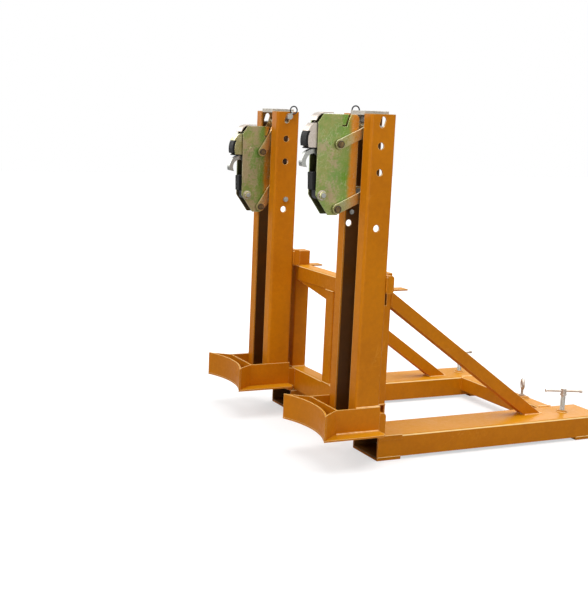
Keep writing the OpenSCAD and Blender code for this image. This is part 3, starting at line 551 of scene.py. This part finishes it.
# Painted highlight: faces that look up, with the rubbed edges, turn near white.
film = layer(tree, film, maths(tree, "MAXIMUM", rubbed, lit_top), POLISH_AND_HIGHLIGHT, share=0.95)
feed(tree, sockets, Base_Color=film, Roughness=spread(tree, blot, 0.4, 0.24),
     Normal=use(tree, relief, Scale=200.0, Strength=0.25, Distance=0.0003)["Normal"])

rusty, tree, sockets = finish("rusty_ends", Metallic=0.45, Roughness=0.5)
blot = use(tree, patches, Scale=120.0, Fine=0.5, Seed=13.0)["Mask"]
feed(tree, sockets, Base_Color=colour_mix(tree, blot, RUST_DARK, RUST_LIGHT))
print("plated and rusty:", straw.name, rusty.name)

# %% [markdown]
# The other metals differ only in their colours, their roughness and how bright their edges are,
# which is rubbing and painted highlight together, so one helper makes them all.
# - worn silver: the near nose, the head covers and the fork screws. Their plating is rubbed to a pale,
#   slightly pink silver with a trace of the yellow film.
# - weathered zinc: the caps on the posts, where rain stands.
# - bright zinc: bought-in pins and bolts, silver and a little blue.
# - dark steel: the pull rings, the lower jaws and the retaining rings.


# %% Other metals
def metal(name, metallic, seed, scale, light, dull, edge, edge_amount, rough):
    """Colour = light where the patches mask is 0 and dull where it is 1, then the edge colour by the
    edge mask of wear and painted highlight times edge_amount. The roughness runs between its two figures with the
    patches."""
    material, tree, sockets = finish(name, Metallic=metallic)
    haze = use(tree, patches, Scale=scale, Fine=0.5, Seed=seed)["Mask"]
    wear_and_glint = use(tree, edge_wear_and_glint, Radius=0.0012, Patch_scale=85.0, Amount=0.75)["Mask"]
    body = colour_mix(tree, haze, screen(*light), screen(*dull))
    # Partly painted highlight: the edge colour follows the edge mask, strongest on upward edges.
    body = layer(tree, body, wear_and_glint, screen(*edge), share=edge_amount)
    feed(tree, sockets, Base_Color=body, Roughness=spread(tree, haze, *rough),
         Normal=use(tree, relief, Scale=240.0, Strength=0.18, Distance=0.00025)["Normal"])
    return material


silver = metal("worn_silver", metallic=0.8, seed=9.0, scale=26.0, light=(206, 196, 186),
               dull=(178, 164, 150), edge=(250, 248, 240), edge_amount=0.7, rough=(0.28, 0.46))
weathered = metal("weathered_zinc", metallic=0.45, seed=15.0, scale=18.0, light=(204, 198, 186),
                  dull=(156, 148, 134), edge=(250, 244, 226), edge_amount=0.9, rough=(0.5, 0.68))
bright = metal("bright_zinc", metallic=0.85, seed=7.0, scale=40.0, light=(190, 190, 184),
               dull=(150, 152, 146), edge=(244, 244, 240), edge_amount=0.6, rough=(0.24, 0.42))
dark = metal("dark_steel", metallic=0.7, seed=3.0, scale=60.0, light=(38, 38, 42),
             dull=(62, 62, 66), edge=(150, 150, 150), edge_amount=0.5, rough=(0.3, 0.5))
print("metals:", [m.name for m in (silver, weathered, bright, dark)])

# %% [markdown]
# The bumpers and pads are moulded rubber with a dusty bloom in the low spots. Rubber has no edge wear
# to show, so a patch mask for the bloom and a strong fine relief are all that it takes.

# %% Rubber
CLEAN_RUBBER, DUSTY_RUBBER = screen(9, 9, 10), screen(34, 33, 32)

rubber, tree, sockets = finish("black_rubber", Specular_IOR_Level=0.25)
bloom = use(tree, patches, Scale=45.0, Fine=0.6, Seed=5.0)["Mask"]
feed(tree, sockets, Base_Color=layer(tree, CLEAN_RUBBER, bloom, DUSTY_RUBBER, share=0.4),
     Roughness=spread(tree, bloom, 0.55, 0.8),
     Normal=use(tree, relief, Scale=700.0, Strength=0.4, Distance=0.0003)["Normal"])
print("rubber:", len(tree.nodes), "nodes")

# %% [markdown]
# The frame says which finish each solid has in the library. Some solids of one finish look different
# on the real clamp, because they came from another maker or see more wear. A short table of name
# beginnings picks those out, which is easier to read than a list of every solid.

# %% Finishes of the solids
FINISHES = {"orange_paint": paint, "yellow_zinc": zinc, "bright_zinc": bright, "dark_steel": dark,
            "black_rubber": rubber}
SPECIAL = {"cap_": weathered, "head_cover_": silver, "nose_r_body": silver, "nose_l_body": straw,
           "screw_": silver, "bar_": silver, "eye_bolt": silver, "link_": straw}
slot_of = {s["node"]: s["material_slot"] for s in frame["record"]["subparts"]}
body_of = {n: b for b, nodes in frame["record"]["behaviour"]["bodies"].items() for n in nodes}

for name, part in frame["nodes"].items():
    special = [material for stem, material in SPECIAL.items() if name.startswith(stem)]
    part.data.materials.clear()
    part.data.materials.append(special[0] if special else FINISHES[slot_of[name]])
print("finishes:", list(FINISHES))

# %% [markdown]
# Flame-cut plates never have knife edges. So a copy of each plate-like solid is merged, its flat
# triangles are joined, and a Bevel modifier rounds the real edges. The copy then stands for the solid.

# %% Rounded copies
MERGE_WITHIN = 1e-6
FLAT_WITHIN = math.radians(1.0)
SHARP_FROM = math.radians(35.0)


def flatten(mesh):
    """Points closer than 0.001 mm become one, and triangles within one degree of flat become one
    face."""
    work = bmesh.new()
    work.from_mesh(mesh)
    bmesh.ops.remove_doubles(work, verts=work.verts, dist=MERGE_WITHIN)
    bmesh.ops.dissolve_limit(work, angle_limit=FLAT_WITHIN, verts=work.verts, edges=work.edges)
    work.to_mesh(mesh)
    work.free()


def shade(mesh):
    """Smooth faces, with the edges kept sharp whose two faces turn by more than 35 degrees."""
    mesh.shade_smooth()
    work = bmesh.new()
    work.from_mesh(mesh)
    for e in work.edges:
        e.smooth = len(e.link_faces) == 2 and e.calc_face_angle(0.0) < SHARP_FROM
    work.to_mesh(mesh)
    work.free()


def rounded(name, width_mm):
    """A merged copy of a solid with its sharp edges rounded over the given width. It takes the
    solid's place."""
    source = frame["nodes"][name]
    piece = bpy.data.objects.new(name + "_edged", source.data.copy())
    bpy.context.scene.collection.objects.link(piece)
    flatten(piece.data)
    shade(piece.data)
    bevel = piece.modifiers.new("edges", "BEVEL")
    bevel.width, bevel.segments = width_mm * MM, 2
    bevel.limit_method, bevel.angle_limit = "ANGLE", SHARP_FROM
    bevel.harden_normals = True
    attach(piece, body_of[name])
    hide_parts(name)
    return piece


SIDES = ("r", "l")
EDGE_WIDTHS = {"floor_": 0.8, "cradle_": 0.8, "panels_": 0.8, "head_plates_": 0.8, "head_cover_": 0.6,
               "link_up_": 0.8, "link_low_": 0.8, "jaw_": 0.8, "jaw_pad_": 1.5, "nose_rubber_": 1.2,
               "cap_": 0.8, "pocket_": 0.6, "brace_": 0.8}
for stem, width in EDGE_WIDTHS.items():
    for side in SIDES:
        rounded(stem + side, width)
for side in SIDES:
    rounded("beak_%s_body" % side, 2.0)
    rounded("nose_%s_body" % side, 0.8)
for name in ("straps_front", "straps_rear", "lugs", "eye_plate"):
    rounded(name, 0.8)

# %% [markdown]
# Some solids have two finishes. The skirt of a cap was painted with its post. Of the four pins in a
# head, the nose pin is flush with the plates and has their colour, the jaw bolt has silver washers,
# and the link pins end in rust. Each could be a solid of its own, but they are one piece of the model.
# So the faces are picked by where their centres lie, and take one more material.

# %% Second finishes
CAP_SKIRT_TOP = post_in.top - 0.020
PIN_HINGES = ("upper_jaw_pivot_", "lower_jaw_pivot_", "head_pivot_")
NOSE_PIN_REACH, WASHER_REACH, LINK_PIN_REACH = 0.009, 0.016, 0.012
WASHER_FACE = HEAD_HALF + 0.0042


def face_centres(piece):
    """X, Y and Z of the centre of every face, as three arrays."""
    centres = np.empty(len(piece.data.polygons) * 3)
    piece.data.polygons.foreach_get("center", centres)
    return centres.reshape(-1, 3).T


def second_finish(piece, material, picked):
    """The picked faces take one more material, which is added to the piece."""
    piece.data.materials.append(material)
    marks = np.empty(len(piece.data.polygons), np.int32)
    piece.data.polygons.foreach_get("material_index", marks)
    marks[picked] = len(piece.data.materials) - 1
    piece.data.polygons.foreach_set("material_index", marks)


for side in SIDES:
    cap = bpy.data.objects["cap_%s_edged" % side]
    second_finish(cap, paint, face_centres(cap)[2] < CAP_SKIRT_TOP)
    pins = rounded("head_pins_" + side, 0.5)
    x, y, z = face_centres(pins)
    from_middle = np.abs(np.abs(x) - POST_X)
    nose, bolt, link = (pivot[hinge + side] for hinge in PIN_HINGES)
    near_bolt = np.hypot(y - bolt[1], z - bolt[2]) < WASHER_REACH
    second_finish(pins, zinc, np.hypot(y - nose[1], z - nose[2]) < NOSE_PIN_REACH)
    second_finish(pins, silver, near_bolt & (from_middle < WASHER_FACE))
    second_finish(pins, rusty, (np.abs(y - link[1]) < LINK_PIN_REACH) & (from_middle > LINK_HALF))
    print("materials of", cap.name, len(cap.data.materials), "and of", pins.name, len(pins.data.materials))

# %% [markdown]
# New pieces are grids: rows of points, each row a closed ring around a bar. Curves and modifiers can
# make such shapes too, but a grid is worked out as one array, is closed at both ends and has no double
# points. Its place is in its points, and the object stays at the origin.


# %% Closed pieces
def tube_faces(rows, around, offset):
    """Quads between each ring and the next, and one many-sided face at each end."""
    a = np.arange(rows - 1)[:, None] * around + np.arange(around)[None, :]
    b = np.arange(rows - 1)[:, None] * around + (np.arange(around)[None, :] + 1) % around
    quads = np.stack([a, a + around, b + around, b], axis=-1).reshape(-1, 4) + offset
    first = [offset + k for k in range(around)]
    last = [offset + (rows - 1) * around + k for k in range(around)][::-1]
    return quads.tolist() + [first, last]


def closed_piece(name, bars, material, body):
    """Joins several bars, each an array (rows, around, 3) in metres, into one mesh that rides on a
    body. Its faces are turned outwards."""
    points, faces, offset = [], [], 0
    for rings in bars:
        points.append(rings.reshape(-1, 3))
        faces += tube_faces(rings.shape[0], rings.shape[1], offset)
        offset += rings.shape[0] * rings.shape[1]
    mesh = bpy.data.meshes.new(name)
    mesh.from_pydata(np.concatenate(points).tolist(), [], faces)
    work = bmesh.new()
    work.from_mesh(mesh)
    bmesh.ops.recalc_face_normals(work, faces=work.faces)
    work.to_mesh(mesh)
    work.free()
    mesh.materials.append(material)
    piece = bpy.data.objects.new(name, mesh)
    bpy.context.scene.collection.objects.link(piece)
    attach(piece, body)
    return piece


print("closed pieces are joined from bars")

# %% [markdown]
# Everything orange is welded. The seams that lie level are painted paler than the plates beside them:
# the pale colour is painted highlight, the glints of the lamps on their glossy ridges. The other seams
# have the frame's own paint.

# %% Paint on the welds
BEAD_ORANGE, BEAD_GLINT = screen(226, 150, 52), screen(252, 214, 142)

glinting_bead_paint, tree, sockets = finish("glinting_bead_paint", Specular_IOR_Level=0.4, Coat_Weight=0.5,
                                   Coat_Roughness=0.1)
blot = use(tree, patches, Scale=70.0, Fine=0.5, Seed=6.0)["Mask"]
# Painted highlight: the level beads are coloured pale orange to cream.
feed(tree, sockets, Base_Color=colour_mix(tree, blot, BEAD_ORANGE, BEAD_GLINT),
     Roughness=spread(tree, blot, 0.3, 0.42))
print("seam paint:", glinting_bead_paint.name)

# %% [markdown]
# A weld bead is a row of overlapping puddles. A bump texture on a plain bar would look flat against the
# light, so the bar's radius itself swells and sinks once per puddle.

# %% Weld beads
PUDDLE = 0.0042
ROWS_PER_PUDDLE = 4
BEAD_AROUND = 8
BEAD_RADIUS, LEVEL_BEAD_RADIUS = 0.0032, 0.0036


def bead(path, radius):
    """Points of a bar along the path: at distance s the radius is r (0.86 + 0.14 |cos(pi s / puddle)|
    + 0.05 sin(310 s)), where the last and slower wave makes no two puddles alike. The end rings shrink
    to close the bar softly."""
    legs = np.linalg.norm(np.diff(path, axis=0), axis=1)
    total = legs.sum()
    s = np.linspace(0, total, max(8, int(total / PUDDLE * ROWS_PER_PUDDLE)))
    marks = np.concatenate([[0], np.cumsum(legs)])
    centre = np.column_stack([np.interp(s, marks, path[:, k]) for k in range(3)])
    ahead = np.gradient(centre, axis=0)
    ahead /= np.linalg.norm(ahead, axis=1)[:, None]
    guide = np.where(np.abs(ahead[:, 2:3]) > 0.9, [[1.0, 0, 0]], [[0, 0, 1.0]])
    side = np.cross(ahead, guide)
    side /= np.linalg.norm(side, axis=1)[:, None]
    up = np.cross(side, ahead)
    swell = radius * (0.86 + 0.14 * np.abs(np.cos(math.pi * s / PUDDLE)) + 0.05 * np.sin(s * 310.0))
    swell[[0, -1]] *= 0.35
    turn = np.arange(BEAD_AROUND) * 2 * math.pi / BEAD_AROUND
    ring = side[:, None, :] * np.cos(turn)[None, :, None] + up[:, None, :] * np.sin(turn)[None, :, None]
    return centre[:, None, :] + ring * swell[:, None, None]


def weld(name, seams, material, radius):
    """One piece of all the seams, each of which is a list of corners in metres."""
    bars = [bead(np.asarray(seam, float), radius) for seam in seams]
    piece = closed_piece(name, bars, material, "frame")
    piece.data.shade_smooth()


def both_sides(seams):
    """The seams and their mirror images."""
    return seams + [[(-x, y, z) for x, y, z in seam] for seam in seams]


def arc(radius, start, end, centre_x, centre_y, z, count=24):
    """Points at angle a from start to end: centre + radius (cos a, sin a)."""
    a = np.radians(np.linspace(start, end, count))
    return [(centre_x + radius * math.cos(t), centre_y + radius * math.sin(t), z) for t in a]


print("a bead of 100 mm has", int(0.1 / PUDDLE), "puddles")

# %% [markdown]
# Each seam is the line where two solids meet, so its corners are limits of their boxes. The lines could
# also be found by cutting the solids with each other, but a bead stops a few millimetres short of many
# corners, as a welder leaves them free. Where it would lie inside a plate it is lifted by half a
# millimetre. The lengths typed here are those that no box tells: the box of the centre vertical, for
# one, reaches over its haunch plates.

# %% Boxes beside the seams
brace, rear, cross = box("brace_r"), box("rear_post_r"), box("rear_cross")
low_beam, mid_beam, saddle = box("low_beam"), box("mid_beam"), box("floor_r")
low_spacer, top_spacer, panel = box("spacers_low"), box("spacers_up"), box("panels_r")
mouth_strap, end_strap, eye = box("straps_front"), box("straps_rear"), box("eye_plate")
screw = pivot["screw_turn_r"]
LIFT = 0.5 * MM
BRACE_FOOT = brace.back - 65 * MM
CENTRE_HALF = 25 * MM
PANEL_OUT = post_out.right + 5 * MM
CRADLE_MEETS = POST_FRONT - 62 * MM
BOSS_SEAM_RADIUS = 15.5 * MM
print("brace foot from", round(BRACE_FOOT, 4), "to", round(brace.back, 4))

# %% [markdown]
# The level seams lie along the tops of plates. The list holds those of the right side, and each has
# its mirror image on the left.

# %% Level seams
level_seams = both_sides([
    # back and outer side of the brace's foot
    [(brace.left, brace.back, pocket.top), (brace.right, brace.back, pocket.top),
     (brace.right, BRACE_FOOT, pocket.top)],
    # saddle panel on its floor, and its top against the post
    [(PANEL_OUT, CRADLE_MEETS, saddle.top + LIFT), (PANEL_OUT, POST_BACK - 2 * MM, saddle.top + LIFT)],
    [(post_out.right, POST_FRONT + 2 * MM, panel.top), (post_out.right, POST_BACK, panel.top)],
    # end of the cross tube on the pocket
    [(pocket.left, cross.front + 2 * MM, cross.top), (pocket.left, cross.back - 2 * MM, cross.top)],
    # head of the brace on the rear post
    [(brace.left, brace.front, brace.top + LIFT), (brace.right, brace.front, brace.top + LIFT)],
])
weld("weld_beads_level", level_seams, glinting_bead_paint, LEVEL_BEAD_RADIUS)
print("level seams:", len(level_seams))

# %% [markdown]
# The other seams run upright, under plates or in corners, where nothing rubs them.

# %% Painted seams
side_seams = both_sides([
    # foot of the rear post on the low beam
    [(rear.right, rear.back, rear.bottom), (rear.right, rear.front, rear.bottom),
     (rear.left, rear.front, rear.bottom), (rear.left, rear.back, rear.bottom)],
    # inner side and front of the brace's foot, and the brace's head on the rear post
    [(brace.left, brace.back, pocket.top), (brace.left, BRACE_FOOT, pocket.top),
     (brace.right, BRACE_FOOT, pocket.top)],
    [(rear.right, rear.back, brace.top - 3 * MM), (rear.right, rear.back, brace.top - 44 * MM)],
    # end of the middle beam on the rear post
    [(mid_beam.right, mid_beam.front, mid_beam.top), (mid_beam.right, mid_beam.front, mid_beam.bottom)],
    # spacers on the backs of the posts
    [(post_out.right, POST_BACK, top_spacer.bottom + 4 * MM),
     (post_out.right, POST_BACK, top_spacer.top - 4 * MM)],
    [(post_in.left, POST_BACK, top_spacer.bottom + 4 * MM),
     (post_in.left, POST_BACK, top_spacer.top - 4 * MM)],
    [(post_out.right, POST_BACK, low_spacer.bottom + 2 * MM),
     (post_out.right, POST_BACK, low_spacer.top - 3 * MM)],
    # doubler strip along the pocket's mouth
    [(mouth_strap.right, low_beam.front, pocket.top + LIFT),
     (mouth_strap.right, mouth_strap.back - 2 * MM, pocket.top + LIFT)],
    # end of the cross tube against the pocket's side
    [(pocket.left, cross.front, cross.bottom + 2 * MM), (pocket.left, cross.front, cross.top - 2 * MM)],
    # low beam across the pocket
    [(pocket.left, low_beam.front, pocket.top), (pocket.right, low_beam.front, pocket.top)],
    # straps under the pocket
    [(pocket.left + 2 * MM, mouth_strap.front + MM, pocket.bottom),
     (pocket.left + 2 * MM, mouth_strap.back, pocket.bottom)],
    [(pocket.right - 2 * MM, mouth_strap.front + MM, pocket.bottom),
     (pocket.right - 2 * MM, mouth_strap.back, pocket.bottom)],
    [(pocket.right - 2 * MM, end_strap.front, pocket.bottom),
     (pocket.right - 2 * MM, end_strap.back - MM, pocket.bottom)],
    # round the boss of the fork screw
    arc(BOSS_SEAM_RADIUS, 0, 360, screw[0], screw[1], pocket.top + LIFT),
])
middle_seams = [
    # foot and head of the centre vertical
    [(CENTRE_HALF, low_beam.front, low_beam.top), (-CENTRE_HALF, low_beam.front, low_beam.top)],
    [(CENTRE_HALF, low_beam.back, low_beam.top), (CENTRE_HALF, low_beam.front, low_beam.top)],
    [(-CENTRE_HALF, low_beam.back, low_beam.top), (-CENTRE_HALF, low_beam.front, low_beam.top)],
    [(CENTRE_HALF, mid_beam.front, mid_beam.bottom), (-CENTRE_HALF, mid_beam.front, mid_beam.bottom)],
    # round the plate of the eye bolt
    [(eye.left, eye.front, eye.bottom + LIFT), (eye.right, eye.front, eye.bottom + LIFT),
     (eye.right, eye.back, eye.bottom + LIFT), (eye.left, eye.back, eye.bottom + LIFT),
     (eye.left, eye.front, eye.bottom + LIFT)],
]
weld("weld_beads", side_seams + middle_seams, paint, BEAD_RADIUS)
print("painted seams:", len(side_seams) + len(middle_seams))

# %% [markdown]
# The fork screws are cut with a coarse thread. The Screw modifier can wind a profile up, but its ends
# stay open. Here the thread is one closed surface: the radius at height z and angle t follows a
# triangle wave of z / pitch - t / (2 pi), so the ridge climbs one pitch per turn.

# %% Screw threads
THREAD_PITCH, THREAD_LENGTH = 0.0025, 0.045
THREAD_LOW = box("bosses").top + LIFT
THREAD_ROOT, THREAD_DEPTH = 0.00702, 0.0009
THREAD_ROWS, THREAD_AROUND = 145, 40


def thread(centre_x, centre_y):
    """r = root + depth * triangle(z / pitch - t / (2 pi)), with the triangle wave between 0 and 1."""
    z = np.linspace(THREAD_LOW, THREAD_LOW + THREAD_LENGTH, THREAD_ROWS)[:, None]
    turn = np.arange(THREAD_AROUND) * 2 * math.pi / THREAD_AROUND
    wave = (z / THREAD_PITCH - turn[None, :] / (2 * math.pi)) % 1.0
    r = THREAD_ROOT + THREAD_DEPTH * (1 - np.abs(2 * wave - 1))
    return np.stack([centre_x + r * np.cos(turn), centre_y + r * np.sin(turn), z + 0 * r], axis=-1)


for side in SIDES:
    ridges = thread(*pivot["screw_turn_" + side][:2])
    closed_piece("thread_" + side, [ridges], bright, "screw_" + side)
print("turns of thread:", round(THREAD_LENGTH / THREAD_PITCH))

# %% [markdown]
# Retaining rings hold the links on the head's pins, and a hexagon nut sits on each end of the lower
# jaw's bolt. A nut could be cut from a hexagonal bar by a cone with a boolean, which often leaves
# slivers. In a grid the radius follows the hexagon and never passes the cone, and the mesh is clean. A
# ring is a bar carried along an open circle.

# %% Retaining rings and nuts
RING_RADIUS, RING_WIRE, RING_OPENING, RING_GAP = 0.0089, 0.0009, 50.0, 0.0046
RING_ROWS, RING_AROUND, RING_END = 49, 10, 0.4
NUT_HALF, NUT_FROM, NUT_TO, NUT_TURN = 0.0103, 0.0039, 0.0106, 0.3
NUT_AROUND = 72
NUT_CONE = np.array([0.93, 1.03, 1.4, 1.4, 1.03, 0.93])
NUT_SLICES = np.array([0.0, 0.04, 0.14, 0.86, 0.96, 1.0])


def open_ring(centre):
    """A bar along a circle about X: centre + (radius + wire cos b) (cos a, sin a), with wire sin b
    along X. The angle a leaves an opening at the bottom, and the bar's end rings shrink to close it
    softly."""
    a = np.radians(np.linspace(-90 + RING_OPENING / 2, 270 - RING_OPENING / 2, RING_ROWS))[:, None]
    b = np.linspace(0, 2 * math.pi, RING_AROUND, endpoint=False)[None, :]
    thick = np.full(a.shape, RING_WIRE)
    thick[[0, -1]] *= RING_END
    reach = RING_RADIUS + thick * np.cos(b)
    return np.stack([centre[0] + thick * np.sin(b) + 0 * a, centre[1] + reach * np.cos(a),
                     centre[2] + reach * np.sin(a)], axis=-1)


def hex_nut(centre, x_start, x_end):
    """A bar along X whose radius at angle t is half / cos(t mod 60 - 30 degrees), or less where the
    cone that a turned chamfer leaves is narrower than the hexagon."""
    t = np.linspace(0, 2 * math.pi, NUT_AROUND, endpoint=False)
    hexagon = NUT_HALF / np.cos((t + NUT_TURN) % (math.pi / 3) - math.pi / 6)
    r = np.minimum(hexagon[None, :], NUT_CONE[:, None] * NUT_HALF)
    x = centre[0] + x_start + (x_end - x_start) * NUT_SLICES[:, None]
    return np.stack([x + 0 * r, centre[1] + r * np.cos(t), centre[2] + r * np.sin(t)], axis=-1)


for side, sign in zip(SIDES, (1.0, -1.0)):
    link, bolt = pivot["head_pivot_" + side], pivot["lower_jaw_pivot_" + side]
    ring_x = [sign * POST_X + way * (LINK_HALF + RING_GAP) for way in (-1.0, 1.0)]
    rings = [open_ring((x, link[1], z)) for z in (link[2], link[2] - LINK_PITCH) for x in ring_x]
    middle = (sign * POST_X, bolt[1], bolt[2])
    nuts = [hex_nut(middle, way * (HEAD_HALF + NUT_FROM), way * (HEAD_HALF + NUT_TO))
            for way in (-1.0, 1.0)]
    shade(closed_piece("retaining_rings_" + side, rings, dark, "head_" + side).data)
    shade(closed_piece("jaw_nuts_" + side, nuts, straw, "head_" + side).data)
    print("side", side, "has", len(rings), "retaining rings and", len(nuts), "nuts")

# %% [markdown]
# The studio has a pale floor. It keeps the shadow near the object and fades to white away from it, so
# that no horizon shows. A white card behind the object would hide the shadow too, so the floor glows
# for the camera only, and sends no more light up than a pale floor does.

# %% Floor
FLOOR_HALF, FLOOR_DROP = 14.0, 0.0005
FLOOR_GREY, FLOOR_GLOW = 0.45, 0.57
WHITE_FROM, WHITE_TO = 0.9, 2.6

floor_mesh = bpy.data.meshes.new("floor")
floor_mesh.from_pydata([(x * FLOOR_HALF, y * FLOOR_HALF, -FLOOR_DROP)
                        for x, y in ((-1, -1), (1, -1), (1, 1), (-1, 1))], [], [(0, 1, 2, 3)])
floor = bpy.data.objects.new("floor", floor_mesh)
bpy.context.scene.collection.objects.link(floor)
floor_paint, tree, sockets = finish("pale_floor", Base_Color=(FLOOR_GREY, FLOOR_GREY, FLOOR_GREY, 1.0),
                                    Roughness=0.9, Emission_Color=(1.0, 1.0, 1.0, 1.0))
ray = node(tree, "ShaderNodeLightPath").outputs
away = node(tree, "ShaderNodeVectorMath", {0: here(tree)}, operation="LENGTH").outputs["Value"]
glow = spread(tree, away, FLOOR_GLOW, 1.0, low=WHITE_FROM, high=WHITE_TO)
feed(tree, sockets, Emission_Strength=times(tree, ray["Is Camera Ray"], glow))
floor.data.materials.append(floor_paint)
floor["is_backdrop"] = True
print("floor:", 2 * FLOOR_HALF, "m wide")

# %% [markdown]
# The sky is plain white to the camera and to reflections, and dim to everything else. A sky picture
# could light the object too, but its colours would tint the paint.

# %% Sky
SKY_LIGHT = 0.18

world = bpy.data.worlds.new("sky")
bpy.context.scene.world = world
world.use_nodes = True
tree = world.node_tree
tree.nodes.clear()
ray = node(tree, "ShaderNodeLightPath").outputs
mirrored = maths(tree, "MAXIMUM", ray["Is Glossy Ray"], ray["Is Transmission Ray"])
seen = maths(tree, "MAXIMUM", ray["Is Camera Ray"], mirrored)
sky = node(tree, "ShaderNodeBackground",
           {"Color": (1.0, 1.0, 1.0, 1.0), "Strength": spread(tree, seen, SKY_LIGHT, 1.0)})
node(tree, "ShaderNodeOutputWorld", {"Surface": sky.outputs[0]})
print("sky:", len(tree.nodes), "nodes")

# %% [markdown]
# A wide softbox above makes the tops of the tubes bright and leaves the insides of the channels dark,
# as in a photo studio. Four weaker lamps around it keep every side readable. Small lamps would be
# brighter for their power, but they would draw hard shadows.

# %% Lamps
LAMPS = {
    "softbox": {"at": (0.3, 0.35, 3.3), "aim": (0.1, 0.1, 0.4), "size": 3.2, "power": 118.0},
    "side": {"at": (3.5, -0.5, 1.1), "aim": (0, 0, 0.4), "size": 1.8, "power": 27.0},
    "front": {"at": (0.9, -3.5, 2.3), "aim": (0, 0, 0.6), "size": 1.8, "power": 64.0},
    "far_side": {"at": (-3.2, -1.6, 1.9), "aim": (0, 0, 0.5), "size": 1.8, "power": 34.0},
    "back": {"at": (-1.8, 3.0, 2.0), "aim": (0, 0, 0.5), "size": 1.8, "power": 34.0},
}


def lamp(name, at, aim, size, power):
    """A square lamp. A lamp shines along its -Z, so its third axis points from the aim back to it."""
    light = bpy.data.lights.new(name, "AREA")
    light.size, light.energy = size, power
    holder = bpy.data.objects.new(name, light)
    bpy.context.scene.collection.objects.link(holder)
    back = np.array(at, float) - np.array(aim, float)
    back /= np.linalg.norm(back)
    right = np.cross([0, 0, 1.0], back)
    right /= np.linalg.norm(right)
    holder.matrix_world = placed(np.column_stack([right, np.cross(back, right), back]), at)


for name, values in LAMPS.items():
    lamp(name, **values)
print("lamps:", list(LAMPS))
